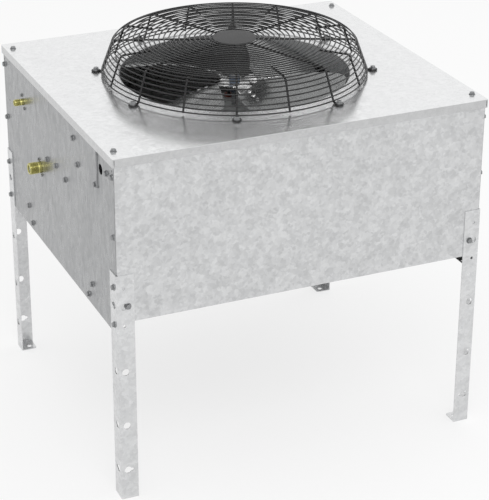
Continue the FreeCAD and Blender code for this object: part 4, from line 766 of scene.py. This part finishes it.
def makeCollar():
    low, high, _ = boxOf("fan_orifice")
    inner, wall = collarValues["inner"], collarValues["wall"]
    under = lidTop - wall
    corners = [(inner, low.z), (inner + wall, low.z), (inner + wall, under - wall),
               (high.x, under - wall), (high.x, under), (inner + wall, under),
               (inner + wall, high.z), (inner, high.z)]
    mesh = lathe("fanCollar", roundedProfile(corners, collarValues["edge"], 3), 160)
    smoothByAngle(mesh, 40)
    finishPiece(newObject("fanCollar", mesh), "casing", finishes["innerZinc"],
                ["fan_orifice"])


makeCollar()


# Fan

bladeValues = {
    "root": 58 * mm, "tip": 249 * mm, "middleZ": 757 * mm, "flat": 30.6 * mm,
    "sweepFrom": 34 * mm, "sweep": 31.0, "pitchRoot": 26.0, "pitchTip": 17.0,
    "camber": 0.8, "sheet": 1.6 * mm, "corner": 26 * mm, "rootCorner": 5 * mm,
    "firstBlade": 5.0, "blades": 4, "rows": 56, "columns": 56, "edge": 0.45 * mm,
    "low": [(0.0, -22.0), (0.32, -12.0), (0.71, -3.0), (1.0, 5.0)],  # share of span, degrees
    "high": [(0.0, 28.0), (0.32, 46.0), (0.71, 55.0), (1.0, 57.0)],
}


def bladeHeight(radius, angle):
    b = bladeValues
    ease = min(max((radius - b["flat"]) / (b["root"] - b["flat"]), 0.0), 1.0)
    ease = ease * ease * (3 - 2 * ease)
    pitch = b["pitchRoot"] * ease
    if radius > b["root"]:
        share = (radius - b["root"]) / (b["tip"] - b["root"])
        pitch = b["pitchRoot"] + (b["pitchTip"] - b["pitchRoot"]) * share
    sweep = b["sweep"] * max(radius - b["sweepFrom"], 0.0) / (b["tip"] - b["sweepFrom"])
    ahead = radius * math.radians(angle - sweep)  # way along the arc from the blade's middle line
    rise = ahead * math.tan(math.radians(pitch))
    return b["middleZ"] + rise - b["camber"] * ease * ahead * ahead


def throughPoints(points, share):
    total = 0.0
    for i, (x, y) in enumerate(points):
        weight = 1.0
        for j, (other, _) in enumerate(points):
            if j != i:
                weight *= (share - other) / (x - other)
        total += weight * y
    return total


def cornerCut(radius):
    b = bladeValues
    fromTip, fromRoot = b["tip"] - radius, radius - b["root"]
    for gap, corner in ((fromTip, b["corner"]), (fromRoot, b["rootCorner"])):
        if gap < corner:
            return corner - math.sqrt(max(corner ** 2 - (corner - gap) ** 2, 0.0))
    return 0.0


def makeBlades():
    b = bladeValues
    for number in range(b["blades"]):
        turn = b["firstBlade"] + 360 * number / b["blades"]
        vertices, faces = [], []
        for i in range(b["rows"] + 1):
            share = 0.5 - 0.5 * math.cos(pi * i / b["rows"])
            radius = b["root"] + (b["tip"] - b["root"]) * share
            cut = math.degrees(cornerCut(radius) / radius)
            start = throughPoints(b["low"], share) + cut
            end = throughPoints(b["high"], share) - cut
            for j in range(b["columns"] + 1):
                angle = start + (end - start) * j / b["columns"]
                around = math.radians(turn + angle)
                vertices.append((radius * math.cos(around), radius * math.sin(around),
                                 bladeHeight(radius, angle)))
        width = b["columns"] + 1
        for i in range(b["rows"]):
            for j in range(b["columns"]):
                k = i * width + j
                faces.append((k, k + width, k + width + 1, k + 1))
        mesh = bpy.data.meshes.new("blade")
        mesh.from_pydata(vertices, [], faces)
        if mesh.polygons[len(mesh.polygons) // 2].normal.z < 0:
            mesh.flip_normals()
        piece = newObject("bladeSeed", mesh)
        thick = piece.modifiers.new("sheet", "SOLIDIFY")
        thick.thickness = b["sheet"]
        thick.offset = 1.0
        edge = piece.modifiers.new("edge", "BEVEL")
        edge.width = b["edge"]
        edge.segments = 2
        edge.angle_limit = math.radians(50)
        piece = evaluated(piece, f"fanBlade{number + 1}")
        smoothByAngle(piece.data, 40)
        finishPiece(piece, "fan", finishes["bladeZinc"], [f"fan_blade_{number + 1}"])


makeBlades()


def smoothCopy(node, name, finish, body, degrees=32):
    mesh = nodes[node].data.copy()
    work = bmesh.new()
    work.from_mesh(mesh)
    bmesh.ops.remove_doubles(work, verts=work.verts, dist=1e-5)
    bmesh.ops.dissolve_degenerate(work, edges=work.edges, dist=1e-6)
    work.to_mesh(mesh)
    work.free()
    piece = newObject(name, mesh)
    smoothByAngle(mesh, degrees)
    return finishPiece(piece, body, finishes[finish], [node])


smoothCopy("fan_spider", "fanSpider", "spiderZinc", "fan", 40)
smoothCopy("blade_rivets", "bladeRivets", "spiderZinc", "fan", 40)
smoothCopy("coil_hairpins", "coilHairpins", "drawnCopper", "casing", 50)
smoothCopy("return_bends", "returnBends", "drawnCopper", "casing", 50)
smoothCopy("discharge_line", "dischargeLine", "drawnCopper", "casing", 50)
smoothCopy("liquid_line", "liquidLine", "drawnCopper", "casing", 50)
smoothCopy("motor_lead", "motorLead", "blackRubber", "casing", 50)


hubValues = {"bore": 6.35 * mm, "edge": 1.2 * mm}


def makeHub():
    low, high, _ = boxOf("fan_hub")
    bore = hubValues["bore"]
    corners = [(bore, low.z), (high.x, low.z), (high.x, high.z), (bore, high.z)]
    mesh = lathe("fanHub", roundedProfile(corners, hubValues["edge"], 4), 64)
    smoothByAngle(mesh, 35)
    finishPiece(newObject("fanHub", mesh), "fan", finishes["hubPaint"], ["fan_hub"])


makeHub()
print("fan made")


# Fins of the coil

finValues = {"fins": 340, "thickness": 0.15 * mm}


def makeFins():
    low, high, centre = boxOf("coil_fins")
    tree, given, out = geometryTree("plateFins", [
        ("Count", "NodeSocketInt"), ("Size", vectorSocket), ("Start", vectorSocket),
        ("Pitch", floatSocket), ("Finish", "NodeSocketMaterial")])
    step = addNode(tree, "ShaderNodeCombineXYZ", {0: given["Pitch"]}).outputs[0]
    line = addNode(tree, "GeometryNodeMeshLine", {"Count": given["Count"],
                                                  "Start Location": given["Start"],
                                                  "Offset": step})
    plate = addNode(tree, "GeometryNodeMeshCube", {"Size": given["Size"]})
    placed = addNode(tree, "GeometryNodeInstanceOnPoints", {"Points": line.outputs[0],
                                                            "Instance": plate.outputs[0]})
    closeTree(tree, placed.outputs[0], given["Finish"], out, smooth=False)
    count, thick = finValues["fins"], finValues["thickness"]
    fins = growPiece("coilFins", tree, {
        "Count": count, "Size": (thick, high.y - low.y, high.z - low.z),
        "Start": (low.x + thick / 2, centre.y, centre.z),
        "Pitch": (high.x - low.x - thick) / (count - 1), "Finish": finishes["finStock"]})
    finishPiece(fins, "casing", finishes["finStock"], ["coil_fins"])


makeFins()
print("coil made")


# Brass couplings

couplingValues = {
    "discharge": {"thread": 13.5 * mm, "reach": 28 * mm, "bore": 8.5 * mm, "line": 6.35 * mm,
                  "ear": 18.4 * mm, "y": 116 * mm, "z": 577 * mm},
    "liquid": {"thread": 7.95 * mm, "reach": 21.5 * mm, "bore": 4.9 * mm, "line": 4.76 * mm,
               "ear": 15.8 * mm, "y": 229 * mm, "z": 693 * mm},
}
couplingCommon = {"depth": 0.9 * mm, "pitch": 2.2 * mm, "collar": 6 * mm, "inside": 20 * mm,
                  "sheet": 1.2 * mm, "earSheet": 2.5 * mm, "earRadius": 5.5 * mm,
                  "earAngle": 57.0, "guide": 0.3 * mm, "web": 4 * mm, "recess": 2.5 * mm,
                  "poppetHead": 4 * mm, "clearance": 0.3 * mm, "socket": 6 * mm}


def helicalThread(thread, depth, pitch, start, end, steps=48):
    turns = (end - start) / pitch - 1
    count = int(turns * steps)
    section = [(-depth, -0.42), (0.0, -0.14), (0.0, 0.14), (-depth, 0.42)]
    vertices, faces = [], []
    for i in range(count + 1):
        turn = 2 * pi * i / steps
        taper = min(1.0, i / (steps / 2), (count - i) / (steps / 2))
        for rise, along in section:
            radius = thread - depth - 0.05 * mm + (depth + rise) * taper
            vertices.append((radius * math.cos(turn), radius * math.sin(turn),
                             start + pitch * (0.5 + i / steps + along)))
    for i in range(count):
        for k in range(4):
            n = (k + 1) % 4
            faces.append((i * 4 + k, i * 4 + n, (i + 1) * 4 + n, (i + 1) * 4 + k))
    faces.append((0, 1, 2, 3))
    faces.append(tuple(count * 4 + k for k in range(4)))
    return meshFrom("thread", vertices, faces)


def earPlate(values, radius, inner):
    c = couplingCommon
    turn = math.radians(c["earAngle"])
    outline = []
    reach, ear = values["ear"], c["earRadius"]
    lean = math.acos((radius - ear) / reach)
    for side in (0, pi):
        for k in range(13):
            angle = -lean + 2 * lean * k / 12
            outline.append((reach * math.cos(side) + ear * math.cos(side + angle),
                            reach * math.sin(side) + ear * math.sin(side + angle)))
        for k in range(1, 8):
            angle = lean + (pi - 2 * lean) * k / 8
            outline.append((radius * math.cos(side + angle), radius * math.sin(side + angle)))
    bottom, top = -c["sheet"] - c["earSheet"], -c["sheet"]
    work = bmesh.new()
    loops = [[work.verts.new((x, y, height)) for x, y in outline] for height in (bottom, top)]
    for height in (top, bottom):
        shares = [inner / math.hypot(x, y) for x, y in outline]
        loops.append([work.verts.new((x * share, y * share, height))
                      for (x, y), share in zip(outline, shares)])
    for loop, other in zip(loops, loops[1:] + loops[:1]):
        for i in range(len(outline)):
            work.faces.new((loop[i - 1], loop[i], other[i], other[i - 1]))
    bmesh.ops.rotate(work, verts=work.verts, cent=(0, 0, 0),
                     matrix=Matrix.Rotation(turn - pi / 2, 3, "Z"))
    bmesh.ops.recalc_face_normals(work, faces=work.faces)
    mesh = bpy.data.meshes.new("ears")
    work.to_mesh(mesh)
    work.free()
    return mesh


def facingLeft(mesh, y, z):
    face = -boxOf("right_side_panel")[1].x
    columns = Matrix(((0, 0, -1), (0, 1, 0), (1, 0, 0)))
    mesh.transform(Matrix.Translation((face, y, z)) @ columns.to_4x4())
    return mesh


def makeCoupling(name, values):
    c = couplingCommon
    thread, bore, reach = values["thread"], values["bore"], values["reach"]
    back = -c["sheet"] - c["inside"]
    core = thread - c["depth"]
    plain = thread - c["depth"] / 2
    body = [(core, back), (core, -c["sheet"]), (plain, -c["sheet"]), (plain, c["collar"]),
            (core, c["collar"] + 1.2 * mm), (core, reach - 0.6 * mm), (core - 0.6 * mm, reach),
            (bore + 0.5 * mm, reach), (bore, reach - 0.5 * mm), (bore, c["guide"]),
            (bore * 0.28 + 0.05 * mm, c["guide"]), (bore * 0.28 + 0.05 * mm, c["guide"] - c["web"]),
            (values["line"] - 1 * mm, c["guide"] - c["web"]),
            (values["line"] - 1 * mm, back + c["socket"]),
            (values["line"] + 0.05 * mm, back + c["socket"]), (values["line"] + 0.05 * mm, back)]
    core = lathe("core", roundedProfile(body, 0.3 * mm, 3), 72)
    spiral = helicalThread(thread, c["depth"], c["pitch"], c["collar"] + 1 * mm, reach)
    ears = earPlate(values, thread + 2 * mm, thread - c["depth"] - 1 * mm)
    mesh = joinMeshes(name + "Coupling", [core, spiral, ears])
    facingLeft(mesh, values["y"], values["z"])
    smoothByAngle(mesh, 35)
    finishPiece(newObject(name + "Coupling", mesh), "casing", finishes["couplingBrass"],
                [name + "_coupling"])

    head = bore - c["clearance"]
    seat, stem = reach - c["recess"], bore * 0.28
    foot = c["guide"] - c["web"] + 1 * mm
    profile = [(0, foot), (stem, foot), (stem, seat - c["poppetHead"]),
               (head, seat - c["poppetHead"]), (head, seat), (head * 0.62, seat),
               (head * 0.55, seat - 0.4 * mm), (head * 0.3, seat - 0.4 * mm),
               (head * 0.24, seat), (0, seat)]
    mesh = lathe(name + "Poppet", roundedProfile(profile, 0.3 * mm, 3), 64, closed=False)
    facingLeft(mesh, values["y"], values["z"])
    smoothByAngle(mesh, 40)
    finishPiece(newObject(name + "Poppet", mesh), name + "_poppet", finishes["poppetSteel"],
                [name + "_poppet"])


for coupling, couplingSizes in couplingValues.items():
    makeCoupling(coupling, couplingSizes)
    smoothCopy(coupling + "_spring", coupling + "Spring", "shaftSteel", "casing", 60)
print("couplings made")


# Pieces that keep the CAD's shape

keptFinishes = {
    "innerZinc": ["motor_rail_front", "motor_rail_rear", "coil_rail_front", "coil_rail_rear",
                  "coil_end_plate_left", "coil_end_plate_right", "junction_box",
                  "capacitor_strap", "lead_clip"],
    "motorPaint": ["motor_shell", "motor_lower_bell", "motor_upper_bell"],
    "laminatedIron": ["motor_stator", "rotor_core"],
    "windingVarnish": ["motor_windings"],
    "bearingBronze": ["motor_bearings"],
    "screwZinc": ["motor_bolts", "motor_nuts", "hub_set_screw"],
    "redRubber": ["lead_grommet"],
    "blackRubber": ["lead_bush"],
    "shaftSteel": ["motor_shaft"],
    "capacitorCan": ["run_capacitor"],
}
for finish, members in keptFinishes.items():
    for node in members:
        nodes[node].data.materials.clear()
        nodes[node].data.materials.append(finishes[finish])
print("kept pieces dressed")


# Floor, light and camera

cameraValues = {"place": (-1.4729, -3.3894, 2.1071), "yaw": 22.986, "pitch": 24.011,
                "roll": -0.115, "focalPixels": 1769.89, "principal": (220.03, 203.81),
                "image": (489, 500), "sensor": 36.0}
lightValues = {"world": 0.86, "floor": 0.9, "glow": 0.7, "reach": 9.0}
lampValues = {
    "keyLamp": {"place": (-0.8, -2.8, 3.4), "target": (0, 0, 0.5), "size": 2.2, "power": 42.0},
    "fillLamp": {"place": (2.6, 1.2, 3.0), "target": (0, 0, 0.7), "size": 2.0, "power": 10.0},
}


def plainlySeen(tree):
    path = addNode(tree, "ShaderNodeLightPath").outputs
    seen = mathNode(tree, "MAXIMUM", path["Is Camera Ray"], path["Is Glossy Ray"])
    return mathNode(tree, "MAXIMUM", seen, path["Is Transmission Ray"])


def makeFloor():
    mesh = bpy.data.meshes.new("floor")
    r = lightValues["reach"]
    mesh.from_pydata([(-r, -r, 0), (r, -r, 0), (r, r, 0), (-r, r, 0)], [], [(0, 1, 2, 3)])
    floor = newObject("floor", mesh)
    floor.location.z = -0.0005
    material = bpy.data.materials.new("paleFloor")
    material.use_nodes = True
    tree = material.node_tree
    shader = tree.nodes["Principled BSDF"]
    shader.inputs["Base Color"].default_value = (lightValues["floor"],) * 3 + (1,)
    shader.inputs["Roughness"].default_value = 0.9
    shader.inputs["Specular IOR Level"].default_value = 0.0
    glow = addNode(tree, "ShaderNodeEmission", {"Color": (1, 1, 1, 1), "Strength": 1.0})
    share = mathNode(tree, "MULTIPLY", plainlySeen(tree), lightValues["glow"])
    mixed = addNode(tree, "ShaderNodeMixShader", {0: share, 1: shader.outputs[0],
                                                  2: glow.outputs[0]})
    tree.links.new(mixed.outputs[0], tree.nodes["Material Output"].inputs["Surface"])
    mesh.materials.append(material)


def makeWorld():
    world = bpy.data.worlds.new("studio")
    bpy.context.scene.world = world
    world.use_nodes = True
    tree = world.node_tree
    back = tree.nodes["Background"]
    back.inputs["Color"].default_value = (1, 1, 1, 1)
    strength = spread(tree, plainlySeen(tree), 0.0, 1.0, lightValues["world"], 1.0)
    tree.links.new(strength, back.inputs["Strength"])


def areaLight(name, place, target, size, power):
    lamp = bpy.data.lights.new(name, "AREA")
    lamp.shape = "DISK"
    lamp.size = size
    lamp.energy = power
    holder = bpy.data.objects.new(name, lamp)
    holder.location = place
    holder.rotation_euler = (Vector(target) - Vector(place)).to_track_quat("-Z", "Y").to_euler()
    bpy.context.scene.collection.objects.link(holder)


def makeCamera():
    c = cameraValues
    lens = bpy.data.cameras.new("photoView")
    width, height = c["image"]
    longSide = max(width, height)
    lens.sensor_width = c["sensor"]
    lens.lens = c["focalPixels"] * c["sensor"] / longSide
    lens.shift_x = (width / 2 - c["principal"][0]) / longSide
    lens.shift_y = (c["principal"][1] - height / 2) / longSide
    lens.clip_end = 60
    camera = bpy.data.objects.new("photoView", lens)
    turn = (Matrix.Rotation(-math.radians(c["yaw"]), 4, "Z")
            @ Matrix.Rotation(math.radians(90 - c["pitch"]), 4, "X")
            @ Matrix.Rotation(math.radians(c["roll"]), 4, "Z"))
    camera.matrix_world = Matrix.Translation(c["place"]) @ turn
    bpy.context.scene.collection.objects.link(camera)
    bpy.context.scene.camera = camera


makeFloor()
makeWorld()
for lamp, values in lampValues.items():
    areaLight(lamp, **values)
makeCamera()
bpy.context.scene.view_settings.view_transform = "Standard"
print("stage set")
